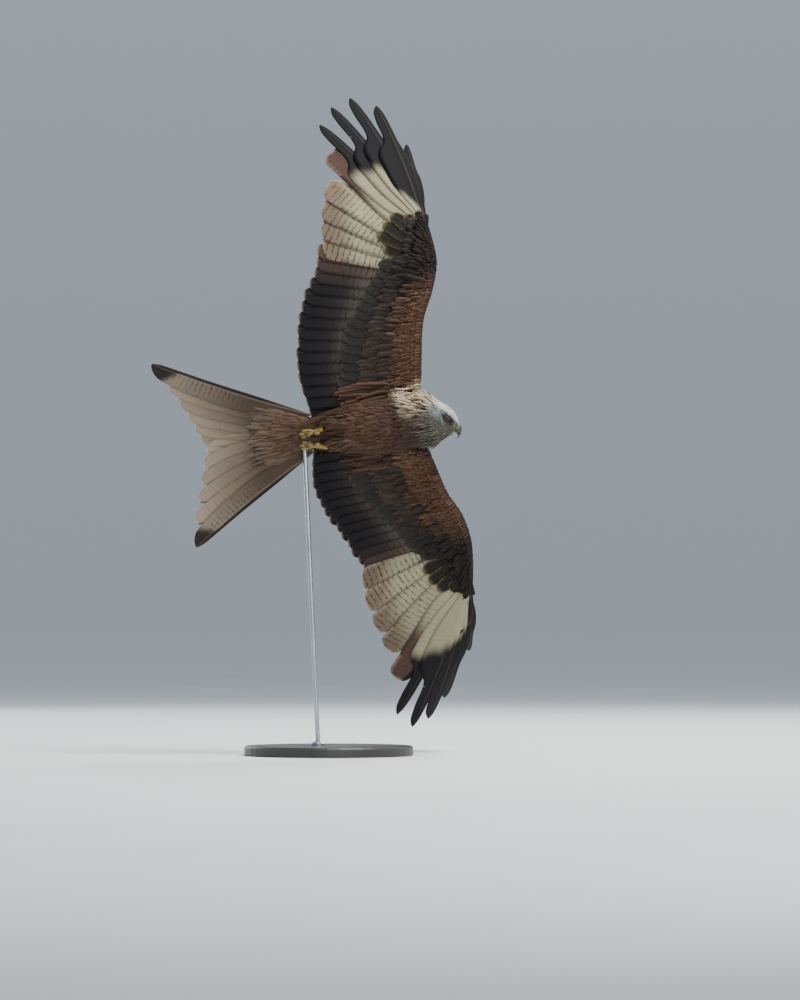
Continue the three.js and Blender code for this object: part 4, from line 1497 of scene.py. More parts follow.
class Skin:
    """One skin over torso, neck, head, thighs, arms and the tail's root."""

    INSET = {"torso": 5.0, "neck": 2.6, "head": 1.6, "arm": 2.2, "thigh": 3.0}
    VOXEL = 0.0026
    # Darkens the skin's tint: painted shade in the gaps between the feathers.
    DARKER = 0.55

    def __init__(self, wings: Sequence[Wing]) -> None:
        """Builds the skin's mesh and keeps its points, faces and normals in millimetres.

        Args:
            wings: The wings, whose arms it covers.
        """
        self.plan = BODY_PLAN
        self.wings = wings
        self.points, self.triangles = self.fused()
        self.carve_head()
        self.normals = self.point_normals()

    def solids(self) -> MeshData:
        """The closed forms that the skin is fused from.

        Returns:
            All of them.
        """
        inset = self.INSET
        rows = np.array(self.plan.torso)
        x = np.linspace(rows[0, 0] + inset["torso"], rows[-1, 0] - inset["neck"], 90)
        skin = mix(inset["torso"], inset["neck"], ease(x, 125, 165))
        y, z, wide, deep = smooth_rows(rows, x).T
        wide, deep = np.maximum(wide - skin, 4), np.maximum(deep - skin, 4)
        parts = [loft(hoops(np.column_stack([x, y, z]), wide, deep, 48))]
        rows = np.array(self.plan.skull)
        f = np.linspace(rows[0, 0] + inset["head"], rows[-1, 0], 60)
        up, wide, high = smooth_rows(rows, f).T
        rings = hoops(np.column_stack([f, 0 * f, up]), wide - inset["head"], high - inset["head"], 48)
        parts.append(loft(self.plan.from_head(rings.reshape(-1, 3)).reshape(rings.shape)))
        parts += [wing.surface.core(inset["arm"]) for wing in self.wings]
        parts += [self.thigh(side) for side in Side]
        at = np.linspace(0, 1, 12)
        x = np.linspace(-100, -172, 12)
        middles = np.column_stack([x, 0 * x, 0 * x + 9])
        parts.append(loft(hoops(middles, mix(30, 46, at), mix(9, 2.6, at), 32)))
        return MeshData.joined(parts)

    def thigh(self, side: Side) -> MeshData:
        """One thigh as a leaning ellipsoid.

        Args:
            side: The bird's left or right.

        Returns:
            The closed form.
        """
        long, wide, deep = np.array(self.plan.thigh_size) - self.INSET["thigh"]
        angle = np.linspace(0.02, np.pi - 0.02, 24)
        middles = np.column_stack([np.cos(angle) * long, 0 * angle, 0 * angle])
        rings = hoops(middles, np.sin(angle) * wide, np.sin(angle) * deep, 28)
        lean = math.radians(self.plan.thigh_lean)
        cos, sin = math.cos(lean), math.sin(lean)
        turn = np.array([[cos, 0, sin], [0, 1, 0], [-sin, 0, cos]])
        x, y, z = self.plan.thigh
        return loft(rings @ turn.T + np.array([x, side.value * y, z]))

    def fused(self) -> tuple[Array, Array]:
        """The forms remeshed into one closed skin.

        Returns:
            Its points in the bird's millimetres and its triangles.
        """
        thing = make_object("skin_forms", self.solids())
        remesh = thing.modifiers.new("fuse", "REMESH")
        remesh.mode = "VOXEL"
        remesh.voxel_size = self.VOXEL
        soften = thing.modifiers.new("soften", "SMOOTH")
        soften.factor = 0.6
        soften.iterations = 3
        mesh = bpy.data.meshes.new_from_object(thing.evaluated_get(bpy.context.evaluated_depsgraph_get()))
        mesh.calc_loop_triangles()
        world = np.zeros(len(mesh.vertices) * 3)
        mesh.vertices.foreach_get("co", world)
        tris = np.zeros(len(mesh.loop_triangles) * 3, np.int32)
        mesh.loop_triangles.foreach_get("vertices", tris)
        bpy.data.objects.remove(thing)
        bpy.data.meshes.remove(mesh)
        back = np.linalg.inv(FLIGHT.matrix())
        points = (world.reshape(-1, 3) / MM) @ back[:3, :3].T + back[:3, 3]
        return points, tris.reshape(-1, 3)

    def carve_head(self) -> None:
        """Dishes the orbits and raises the brows on both sides of the head."""
        local = self.plan.to_head(self.points)
        f, side, up = local.T
        near = (np.abs(side) > 8) & (f > -22) & (f < 30)
        e2 = EYE.ring(f, up, EYE.dish)
        floor = 15.6 + 4.6 * np.clip(e2, 0, 1)
        dished = np.where(near & (e2 < 1), np.minimum(np.abs(side), floor), np.abs(side))
        brow = 1.9 * np.exp(-(((f - 5) / 9) ** 2) - ((up - 10.2 + 0.16 * (f - 5)) / 2.6) ** 2)
        local[:, 1] = np.sign(side) * (dished + np.where(near & (np.abs(side) > 10), brow, 0))
        self.points = self.plan.from_head(local)

    def point_normals(self) -> Array:
        """Outward normals at the skin's points.

        Returns:
            One for each point.
        """
        a, b, c = (self.points[self.triangles[:, k]] for k in range(3))
        across = np.cross(b - a, c - a)
        total = np.zeros_like(self.points)
        for k in range(3):
            np.add.at(total, self.triangles[:, k], across)
        return unit(total)

    def build(self, finish: Material) -> None:
        """The skin as one piece, in its coat's markings darkened as painted shade in the gaps between the
        feathers.

        Args:
            finish: Its material.
        """
        corners = self.points[self.triangles]
        middles = np.repeat(corners.mean(axis=1), 3, axis=0)
        data = MeshData(self.points, triangles=self.triangles)
        data.values["tint"] = regions_tint(self.points) * self.DARKER
        data.values["OFBake"] = unwrap(corners.reshape(-1, 3), middles)
        settle(make_object("kite_skin", data, finish), "feather_rufous", "torso", "neck", "head",
               "thigh_left", "thigh_right")


def unwrap(points: Array, guide: Array | None = None) -> Array:
    """The skin's own unwrap: body round its axis, and each arm's two faces laid flat beside it.

    Args:
        points: Bird points.
        guide: Points that choose the chart for each, such as the middles of the faces.

    Returns:
        A place in the unit square for each.
    """
    guide = points if guide is None else guide
    x, y, z = points.T
    gy, gz = guide[:, 1], guide[:, 2]
    arm = np.abs(gy) > 66
    around = np.arctan2(y, z) / TURN
    chosen = np.arctan2(gy, gz) / TURN
    around = chosen + (around - chosen + 0.5) % 1.0 - 0.5
    body_u = 0.02 + 0.46 * (around + 0.5)
    body_v = 0.02 + 0.96 * np.clip((x + 180) / 430, 0, 1)
    arm_u = 0.52 + 0.22 * np.clip((x - 20) / 230, 0, 1) + np.where(gy > 0, 0.0, 0.24)
    middle = WING.shoulder + 0.16 * np.abs(gy)
    arm_v = 0.02 + 0.46 * np.clip((np.abs(y) - 60) / 420, 0, 1) + np.where(gz > middle, 0.5, 0.0)
    return np.column_stack([np.where(arm, arm_u, body_u), np.where(arm, arm_v, body_v)])


@dataclass(frozen=True)
class CoatInks:
    """Colours of the body plumage, some with painted light and shade, as hex colours."""

    belly: str = "4F3A2C"
    vent: str = "543E30"
    breast: str = "452F24"
    collar: str = "DCC8A6"
    # The nape's real pale fringes, made paler as painted light on the neck's upward side.
    collar_rim: str = "F2E4CA"
    # The underside of the neck, darkened as painted shade.
    under_neck: str = "50433A"
    # The cheeks' pale grey, darkened to a bluish grey as painted shade.
    head: str = "858E90"
    head_streak: str = "3B3733"
    # The crown's real whitish grey, made whiter as painted light on the head's top.
    crown: str = "E8E6E2"
    # The throat's streaked pale colour, darkened as painted shade beneath the head.
    throat: str = "605B4E"
    # A dark patch round the eye: painted shade of the eye socket under the brow.
    mask: str = "16181A"
    lores: str = "5A5040"
    back: str = "3E2C20"
    back_rim: str = "8A6040"
    streak: str = "16100E"
    covert_streak: str = "17100E"
    arm_patch: str = "7B6244"


INKS = CoatInks()


def collar_share(points: Array) -> Array:
    """How far each bird point belongs to the neck, from 0 to 1."""
    return ease(points[:, 0] - 0.42 * points[:, 1], 112, 142)


def head_share(points: Array) -> Array:
    """How far each bird point belongs to the head, from 0 to 1."""
    f = BODY_PLAN.to_head(points)[:, 0]
    return ease(f, -44, -22) * ease(points[:, 0] - 0.1 * points[:, 1], 136, 154)


def regions_tint(points: Array) -> Array:
    """The plumage's ground colour at each point of the body, with painted light and shade on the neck and
    head.

    Args:
        points: Bird points.

    Returns:
        Linear colours.
    """
    x, y, z = points.T
    f, side, up = BODY_PLAN.to_head(points).T
    below = blend(INKS.vent, INKS.belly, ease(x, -120, -20))
    below = blend(below, INKS.breast, ease(x, 40, 110))
    tint = blend(below, INKS.back, ease(z, 8, 26))
    arm = ease(np.abs(y), 66, 92)
    # The neck: its real pale collar on the upward (-y) side, darker beneath as painted shade.
    collar = blend(INKS.under_neck, INKS.collar, ease(-y, 8, 40))
    tint = blend(tint, collar, collar_share(points))
    tint = blend(tint, INKS.back, arm)
    # Painted light and shade on the head: darker throat below, shaded bluish cheeks and a whiter lit crown on
    # top.
    head = blend(INKS.throat, INKS.head, ease(up - 0.1 * f, -17, -2))
    head = blend(head, INKS.crown, ease(up - 0.25 * np.abs(side), 3, 8.5))
    lores = np.exp(-(((f - 22) / 10) ** 2) - ((up + 3.5) / 7.5) ** 2)
    # Painted shade of the eye socket under the brow.
    mask = np.exp(-((((f - 9) / 18) ** 2 + ((up - 1.8) / 9.2) ** 2) ** 2))
    head = blend(head, INKS.lores, lores * 0.85)
    head = blend(head, INKS.mask, mask)
    return blend(tint, head, head_share(points) * (1 - arm))


@dataclass(frozen=True)
class FeatherForm:
    """A small feather's outline, 1 long and 1 across, for Geometry Nodes to repeat.

    Args:
        name: The form's name.
        outline: Half width at each place along it.
        crown: Height of the middle over the edges.
        bend: How far the tip bends back to the body.
        fine: Whether the cross-section has eight corners and not four.
    """

    name: str
    outline: tuple[tuple[float, float], ...]
    crown: float = 0.16
    bend: float = 0.12
    fine: bool = False

    def build(self) -> Object:
        """Makes the form.

        Returns:
            The form as an unlinked object with its own attributes.
        """
        t, half = np.array(self.outline).T
        half = half / 2
        share = np.array([-1, -0.5, 0, 0.5, 1, 0.5, 0, -0.5] if self.fine else [-1, 0, 1, 0])
        top = np.array([0, 1, 1, 1, 0, -1, -1, -1] if self.fine else [0, 1, 0, -1])
        lift = self.crown * (1 - share**2) - self.bend * (t[:, None] ** 2)
        thin = 0.022 * top * (1 - 0.6 * t[:, None])
        ring = np.stack([share * half[:, None], np.broadcast_to(t[:, None], lift.shape),
                         lift * np.minimum(1, half[:, None] * 4) + thin], -1)
        data = loft(ring)
        data.values["along"] = np.concatenate([np.repeat(t, len(share)), [t[0], t[-1]]])
        data.values["across"] = np.concatenate([np.tile(share, len(t)), [0, 0]])
        mesh = bpy.data.meshes.new(self.name)
        fill_mesh(mesh, data.points, data)
        return bpy.data.objects.new(self.name, mesh)


CONTOUR = FeatherForm("contour", (
    (0, 0.12), (0.14, 0.5), (0.34, 0.9), (0.52, 1), (0.62, 0.88), (0.69, 0.96), (0.76, 0.74), (0.82, 0.8),
    (0.88, 0.54), (0.93, 0.56), (0.97, 0.26), (1, 0.06)), crown=0.09, bend=0.07)
HACKLE = FeatherForm("hackle", (
    (0, 0.2), (0.2, 0.75), (0.42, 1), (0.55, 0.8), (0.63, 0.86), (0.74, 0.56), (0.81, 0.58), (0.9, 0.26),
    (1, 0.04)), crown=0.12, bend=0.08)
DOWN = FeatherForm("down", ((0, 0.25), (0.3, 0.95), (0.6, 0.9), (0.85, 0.5), (1, 0.08)), crown=0.12,
                   bend=0.08)
LESSER = FeatherForm("lesser covert", (
    (0, 0.2), (0.16, 0.62), (0.4, 0.95), (0.64, 1), (0.74, 0.88), (0.82, 0.9), (0.92, 0.55), (1, 0.08)),
    crown=0.08, bend=0.1)
SCALE = FeatherForm("covert", (
    (0, 0.15), (0.15, 0.55), (0.38, 0.92), (0.62, 1), (0.7, 0.93), (0.76, 0.98), (0.86, 0.86), (0.94, 0.62),
    (0.985, 0.34), (1, 0.1)), crown=0.07, bend=0.05, fine=True)
FORMS = (CONTOUR, HACKLE, DOWN, LESSER, SCALE)


@dataclass
class Planting:
    """Where the feathers of one coat piece grow, and what each is like.

    Args:
        roots: Bird points of the roots.
        normals: Outward normals there.
        lies: Directions the feathers point in.
        sizes: Length and width of each.
        tint: Ground colours.
        rim: Rim colours.
        dark: Streak colours.
        streak: Half width of the shaft streak, as a share.
        uv: Places of the roots on the unwrap.
        lift: Angle of each from the skin, in degrees.
    """

    roots: Array
    normals: Array
    lies: Array
    sizes: Array
    tint: Array
    rim: Array
    dark: Array
    streak: Array
    uv: Array
    lift: Array

    @staticmethod
    def joined(parts: Sequence["Planting"]) -> "Planting":
        """Several plantings as one."""
        return Planting(**{k: np.concatenate([getattr(p, k) for p in parts]) for k in vars(parts[0])})


class CoatTree(NodeBoard):
    """A Geometry Nodes tree that sets one feather on each root and makes it real."""

    PATCH = 0.003

    def __init__(self) -> None:
        """Builds the tree once, for every coat piece."""
        super().__init__(bpy.data.node_groups.new("feathers on roots", "GeometryNodeTree"))
        face = self.tree.interface
        face.new_socket("Geometry", in_out="INPUT", socket_type="NodeSocketGeometry")
        self.form = face.new_socket("Feather form", in_out="INPUT", socket_type="NodeSocketObject").identifier
        self.finish = face.new_socket("Finish", in_out="INPUT", socket_type="NodeSocketMaterial").identifier
        patch = face.new_socket("Patch size", in_out="INPUT", socket_type="NodeSocketFloat")
        patch.default_value = self.PATCH
        face.new_socket("Geometry", in_out="OUTPUT", socket_type="NodeSocketGeometry")
        self.wire()

    def named(self, name: str, kind: str = "FLOAT_VECTOR") -> Socket:
        """A named attribute's value."""
        made = self.node("GeometryNodeInputNamedAttribute", {"Name": name}, data_type=kind)
        return made.outputs["Attribute"]

    def wire(self) -> None:
        """Links roots, feathers, the OFBake map, realising and the finish."""
        given = self.node("NodeGroupInput").outputs
        form = self.node("GeometryNodeObjectInfo", {"Object": given["Feather form"]}).outputs["Geometry"]
        turn = self.node("FunctionNodeEulerToRotation", {0: self.named("vec_turn")}).outputs[0]
        grow = self.node("GeometryNodeInstanceOnPoints", {
            "Points": given["Geometry"], "Instance": form, "Rotation": turn, "Scale": self.named("vec_size")})
        real = self.node("GeometryNodeRealizeInstances", {0: grow.outputs[0]}).outputs[0]
        across = self.node("ShaderNodeMath", {0: self.named("across", "FLOAT"), 1: 0.5, 2: 0.5},
                           operation="MULTIPLY_ADD").outputs[0]
        spot = self.node("ShaderNodeCombineXYZ", {0: across, 1: self.named("along", "FLOAT")}).outputs[0]
        patch = self.node("ShaderNodeVectorMath", {0: spot, "Scale": given["Patch size"]}, operation="SCALE")
        corner = {0: self.named("vec_uv"), 1: patch.outputs[0]}
        place = self.node("ShaderNodeVectorMath", corner, operation="ADD")
        named = {"Name": "OFBake", "Geometry": real, "Value": place.outputs[0]}
        store = self.node("GeometryNodeStoreNamedAttribute", named, data_type="FLOAT2", domain="CORNER")
        dressed = {"Geometry": store.outputs[0], "Material": given["Finish"]}
        self.node("NodeGroupOutput", {0: self.node("GeometryNodeSetMaterial", dressed).outputs[0]})

    def turns(self, planting: Planting, rng: Random) -> Array:
        """How each feather is turned from lying along Y with its face to Z.

        Args:
            planting: The feathers.
            rng: Seeded source of small differences in lift.

        Returns:
            Euler angles.
        """
        m = FLIGHT.matrix()[:3, :3]
        normal = unit(planting.normals @ m.T)
        lie = planting.lies @ m.T
        lie = unit(lie - normal * dots(lie, normal)[:, None])
        tilt = np.radians(planting.lift * rng.uniform(0.6, 1.4, len(lie)))[:, None]
        along = lie * np.cos(tilt) + normal * np.sin(tilt)
        out = normal * np.cos(tilt) - lie * np.sin(tilt)
        turn = np.stack([np.cross(along, out), along, out], -1)
        return np.column_stack([
            np.arctan2(turn[:, 2, 1], turn[:, 2, 2]),
            -np.arcsin(np.clip(turn[:, 2, 0], -1, 1)),
            np.arctan2(turn[:, 1, 0], turn[:, 0, 0]),
        ])

    def grow(self, name: str, planting: Planting, form: Object, finish: Material, rng: Random) -> Object:
        """One coat piece as a plain mesh.

        Args:
            name: The piece's name.
            planting: Its roots and what grows there.
            form: The feather to repeat.
            finish: The material.
            rng: Seeded source of each feather's own number.

        Returns:
            The object, at the origin.
        """
        count = len(planting.roots)
        length, width = planting.sizes.T
        values = {
            "vec_turn": self.turns(planting, rng),
            "vec_size": np.column_stack([width, length, np.minimum(width, 16)]) * MM,
            "vec_uv": np.column_stack([planting.uv, np.zeros(count)]),
            "tint": planting.tint, "rim": planting.rim, "dark": planting.dark,
            "streak": planting.streak, "rand": rng.random(count),
        }
        roots = make_object(f"{name}_roots", MeshData(planting.roots, values=values))
        made = roots.modifiers.new("feathers", "NODES")
        made.node_group = self.tree
        made[self.form] = form
        made[self.finish] = finish
        mesh = bpy.data.meshes.new_from_object(roots.evaluated_get(bpy.context.evaluated_depsgraph_get()))
        roots.modifiers.remove(made)
        bpy.data.objects.remove(roots)
        mesh.name = name
        return show(name, mesh)


def thinned(spots: Array, apart: Array) -> list[int]:
    """The spots that keep their distance from all kept before them.

    Args:
        spots: Places.
        apart: The least distance of each.

    Returns:
        Their numbers.
    """
    cell = float(apart.max())
    grid: dict[tuple[int, int, int], list[int]] = {}
    around = [(i, j, k) for i in (-1, 0, 1) for j in (-1, 0, 1) for k in (-1, 0, 1)]
    kept = []
    listed = spots.tolist()
    for n, (key, (x, y, z), least) in enumerate(zip(np.floor(spots / cell).astype(int).tolist(), listed,
                                                    apart.tolist())):
        others = [listed[m] for i, j, k in around for m in grid.get((key[0] + i, key[1] + j, key[2] + k), ())]
        if all((q[0] - x) ** 2 + (q[1] - y) ** 2 + (q[2] - z) ** 2 >= least * least for q in others):
            grid.setdefault(tuple(key), []).append(n)
            kept.append(n)
    return kept


def scatter(skin: Skin, triangles: Array, spacing: Array, grain: float, rng: Random) -> tuple[Array, Array]:
    """Roots spread evenly over a skin.

    Args:
        skin: The skin.
        triangles: The faces to plant on.
        spacing: The least distance between roots, for each point.
        grain: How much further apart they stand along the body than across it.
        rng: Seeded source of the draws.

    Returns:
        The roots and their normals.
    """
    corners = skin.points[triangles]
    a, b, c = corners.transpose(1, 0, 2)
    area = np.linalg.norm(np.cross(b - a, c - a), axis=1) / 2
    gap = spacing[triangles].mean(axis=1)
    want = area / gap**2 / grain
    tries = int(want.sum() * 6)
    pick = rng.choice(len(triangles), tries, p=want / want.sum())
    u, v = rng.random((2, tries))
    flip = u + v > 1
    u, v = np.where(flip, 1 - u, u), np.where(flip, 1 - v, v)
    weights = (1 - u - v, u, v)

    def between(values: Array) -> Array:
        """The weighted values of the picked faces' corners."""
        one, two, three = (values[pick, k] * w[:, None] for k, w in enumerate(weights))
        return one + two + three

    spots = between(corners)
    kept = thinned(spots / np.array([grain, 1.0, 1.0]), gap[pick])
    return spots[kept], unit(between(skin.normals[triangles]))[kept]


@dataclass(frozen=True)
class Patch:
    """One piece of the body's coat.

    Args:
        name: The piece's name.
        where: Tells whether bird points belong to it.
        gap: The distance between roots at bird points.
        grain: How much further apart they stand along the body.
        form: Name of the feather's form.
        finish: Key of its finish.
        slot: The record's material slot.
    """

    name: str
    where: Callable[[Array], Array]
    gap: Callable[[Array], Array]
    grain: float
    form: str = "contour"
    finish: str = "body"
    slot: str = "feather_rufous"


def on_head(p: Array) -> Array:
    """Whether bird points belong to the head's coat."""
    local = BODY_PLAN.to_head(p)
    return (local[:, 0] > -34) & (p[:, 0] - 0.1 * p[:, 1] > 142) & (local[:, 2] > -27)


def on_neck(p: Array) -> Array:
    """Whether bird points belong to the neck's coat."""
    return ~on_head(p) & (p[:, 0] - 0.4 * p[:, 1] > 116)


def on_trunk(p: Array) -> Array:
    """Whether bird points belong to the torso's and thighs' coat."""
    return ~on_head(p) & (p[:, 0] - 0.4 * p[:, 1] <= 116)


def head_gap(p: Array) -> Array:
    """The distance between the head's feathers, least at the bill."""
    return mix(2.8, 1.5, ease(BODY_PLAN.to_head(p)[:, 0], -4, 26))


def even(gap: float) -> Callable[[Array], Array]:
    """The same distance at all points."""
    return lambda p: np.full(len(p), gap)


PATCHES = (
    Patch("belly_feathers", lambda p: on_trunk(p) & (p[:, 2] < 12) & (p[:, 0] < 20), even(4.9), 1.7),
    Patch("breast_feathers", lambda p: on_trunk(p) & (p[:, 2] < 12) & (p[:, 0] >= 20), even(4.7), 1.8),
    Patch("back_feathers", lambda p: on_trunk(p) & (p[:, 2] >= 12), even(7.6), 1.3, "covert"),
    Patch("neck_feathers", on_neck, even(3.7), 2.2, "hackle", "neck", "feather_neck"),
    Patch("head_feathers", on_head, head_gap, 1.0, "down", "head", "feather_head"),
)


class BodyCoat:
    """The contour feathers of torso, thighs and neck, and the small ones of the head."""

    def __init__(self, skin: Skin, rng: Random) -> None:
        """Keeps the skin and a seeded source of variation."""
        self.skin = skin
        self.rng = rng

    def lies(self, points: Array) -> Array:
        """Where the feathers point at each root: back from the bill and down the body.

        Args:
            points: Bird points.

        Returns:
            Directions.
        """
        local = BODY_PLAN.to_head(points)
        bill = BODY_PLAN.from_head(np.array([[36.0, 0.0, -2.0]]))[0]
        _, y, z = points.T
        body = np.column_stack([-np.ones(len(points)), 0.14 * y / 60, 0.05 * np.sign(z)])
        weight = ease(local[:, 0], -46, -8) * (points[:, 0] > 120)
        weight = (weight * (1 - 0.55 * ease(-local[:, 2], 22, 40)))[:, None]
        return unit(body * (1 - weight) + unit(points - bill) * weight)

    def plant(self, patch: Patch) -> Planting:
        """The roots of one part of the body, with their sizes and colours.

        Args:
            patch: The part.

        Returns:
            The planting.
        """
        skin = self.skin
        middle = skin.points[skin.triangles].mean(axis=1)
        chosen = (np.abs(middle[:, 1]) < 72) & (middle[:, 0] > -152) & patch.where(middle)
        roots, normals = scatter(skin, skin.triangles[chosen], patch.gap(skin.points), patch.grain, self.rng)
        f, side, up = BODY_PLAN.to_head(roots).T
        bare = (EYE.ring(f, up, EYE.bare) < 1) & (np.abs(side) > 8)
        ok = ~bare & ~((f > 31.5) & (roots[:, 0] > 150))
        return self.describe(roots[ok], normals[ok])

    def describe(self, roots: Array, normals: Array) -> Planting:
        """Sizes and colours of the feathers at these roots.

        Args:
            roots: Bird points.
            normals: Outward normals there.

        Returns:
            The planting.
        """
        rng = self.rng
        count = len(roots)
        f, _, up = BODY_PLAN.to_head(roots).T
        x, y, z = roots.T
        headness = head_share(roots) * (1 - 0.8 * ease(-up, 22, 32))
        neckness = collar_share(roots)
        face = ease(f, 0, 26)
        top = ease(z, 8, 22) * (1 - neckness)
        length = mix(mix(mix(27.0, 31.0, top), 34.0, neckness), mix(10.5, 4.8, face), headness)
        width = mix(mix(mix(8.4, 15.0, top), 5.8, neckness), mix(3.3, 1.8, face), headness)
        size = np.column_stack([length * rng.uniform(0.85, 1.16, count),
                                width * rng.uniform(0.88, 1.12, count)])
        lies = self.lies(roots)
        size[:, 0] *= 1 - 0.65 * ease(-dots(normals, lies), 0.6, 0.9)
        tint = regions_tint(roots) * rng.uniform(0.84, 1.16, count)[:, None]
        rim = blend(tint * 1.25, INKS.back_rim, top * 0.8)
        # Paler rims on the neck's upward (-y) side: the nape's real pale fringes with painted light.
        rim = blend(rim, INKS.collar_rim, neckness * (1 - headness) * 0.5 * ease(-y, 0, 40))
        streak = mix(0.1, 0.42, ease(x, 20, 110)) * rng.uniform(0.3, 1.4, count)
        bold = np.where(rng.random(count) < 0.27, 1.1, 0.16)
        streak = mix(streak, bold * rng.uniform(0.7, 1.2, count), neckness)
        streak = mix(streak, 0.55, top)
        throat = ease(-up, 4, 16)
        streak = mix(streak, mix(0.14, 0.34, throat) * rng.uniform(0.3, 1.6, count), headness)
        ruffled = mix(6.0, 15.0, ease(-y, 12, 44))
        lift = mix(mix(3.5, ruffled, neckness * (1 - headness)), 7.0, headness)
        lies = lies + rng.normal(0, 0.06, (count, 3))
        dark = blend(INKS.streak, INKS.head_streak, headness)
        rim = np.minimum(rim, 1)
        return Planting(roots, normals, lies, size, tint, rim, dark, streak, unwrap(roots), lift)

    def build(self, tree: CoatTree, forms: dict[str, Object], finishes: dict[str, Material]) -> None:
        """Grows the coat pieces of belly, breast, back, neck and head.

        Args:
            tree: The tree that sets the feathers.
            forms: The feathers' forms by name.
            finishes: Their finishes by key.
        """
        for patch in PATCHES:
            planting = self.plant(patch)
            piece = tree.grow(patch.name, planting, forms[patch.form], finishes[patch.finish], self.rng)
            settle(piece, patch.slot)


@dataclass(frozen=True)
class CovertRow:
    """Rows of small coverts on one face of the arm and hand.

    Args:
        form: Name of the feather's form.
        at: Places of the rows across the chord, 0 in front.
        length: Feather length in the first and in the last row.
        width: Feather width in the first and in the last row.
        pitch: Distance between neighbours in a row.
        lift: Angle from the skin, in degrees.
        ground: Hex colour of the feathers.
        rim: Hex colour of their rims.
        streak: Half width of the shaft streak.
        wrist: Hex colour that takes over towards the wrist.
        over: Least height over the wing's middle surface behind the arm.
        span: First and last reach, or the whole arm and hand.
    """

    form: str
    at: tuple[float, ...]
    length: tuple[float, float]
    width: tuple[float, float]
    pitch: float
    lift: float
    ground: str
    rim: str
    streak: float
    wrist: str
    over: float = 5.6
    span: tuple[float, float] | None = None


MARGIN = (0.0, 0.012, 0.035, 0.07, 0.115, 0.17, 0.23, 0.3, 0.37, 0.44, 0.51, 0.58)
UNDER_ROWS = (
    CovertRow("lesser covert", MARGIN, (12, 40), (7.5, 9), 5.2, 2.5, "503828", "6B4B37", 0.38, "191412"),
    CovertRow("covert", (0.64, 0.73, 0.82, 0.91, 1.0), (42, 50), (12, 14), 7.6, 3, "30251E", "45362B", 0.4,
              "181412"),
    CovertRow("contour", (0.2, 0.35, 0.5, 0.65, 0.8, 0.95, 1.1), (54, 88), (11, 13), 6.0, 2, "442F23",
              "5E4534", 0.3, "442F23", 7.4, (30, 92)),
)
UPPER_ROWS = (
    CovertRow("lesser covert", MARGIN[:6], (12, 26), (7.5, 9), 5.6, 2.5, "4C3224", "6F4B33", 0.45, "33241C"),
    CovertRow("covert", (0.13, 0.19, 0.25, 0.31, 0.37, 0.43), (26, 38), (10, 14), 8.4, 3, "4A3124",
              "7D573C", 0.55, "33241C"),
    CovertRow("covert", (0.49, 0.57, 0.65, 0.73, 0.81), (38, 42), (15, 17), 9.5, 3, "6F5338", "97764F",
              0.35, "3A2A1E"),
    CovertRow("covert", (0.9, 1.0), (46, 50), (20, 22), 13.0, 3, "3F2D22", "6E533C", 0.4, "2B2019"),
    CovertRow("covert", (0.2, 0.4, 0.6, 0.8, 1.0), (44, 78), (17, 24), 11.0, 3, "3E2C20", "8A6040", 0.5,
              "3E2C20", 7.4, (26, 84)),
)


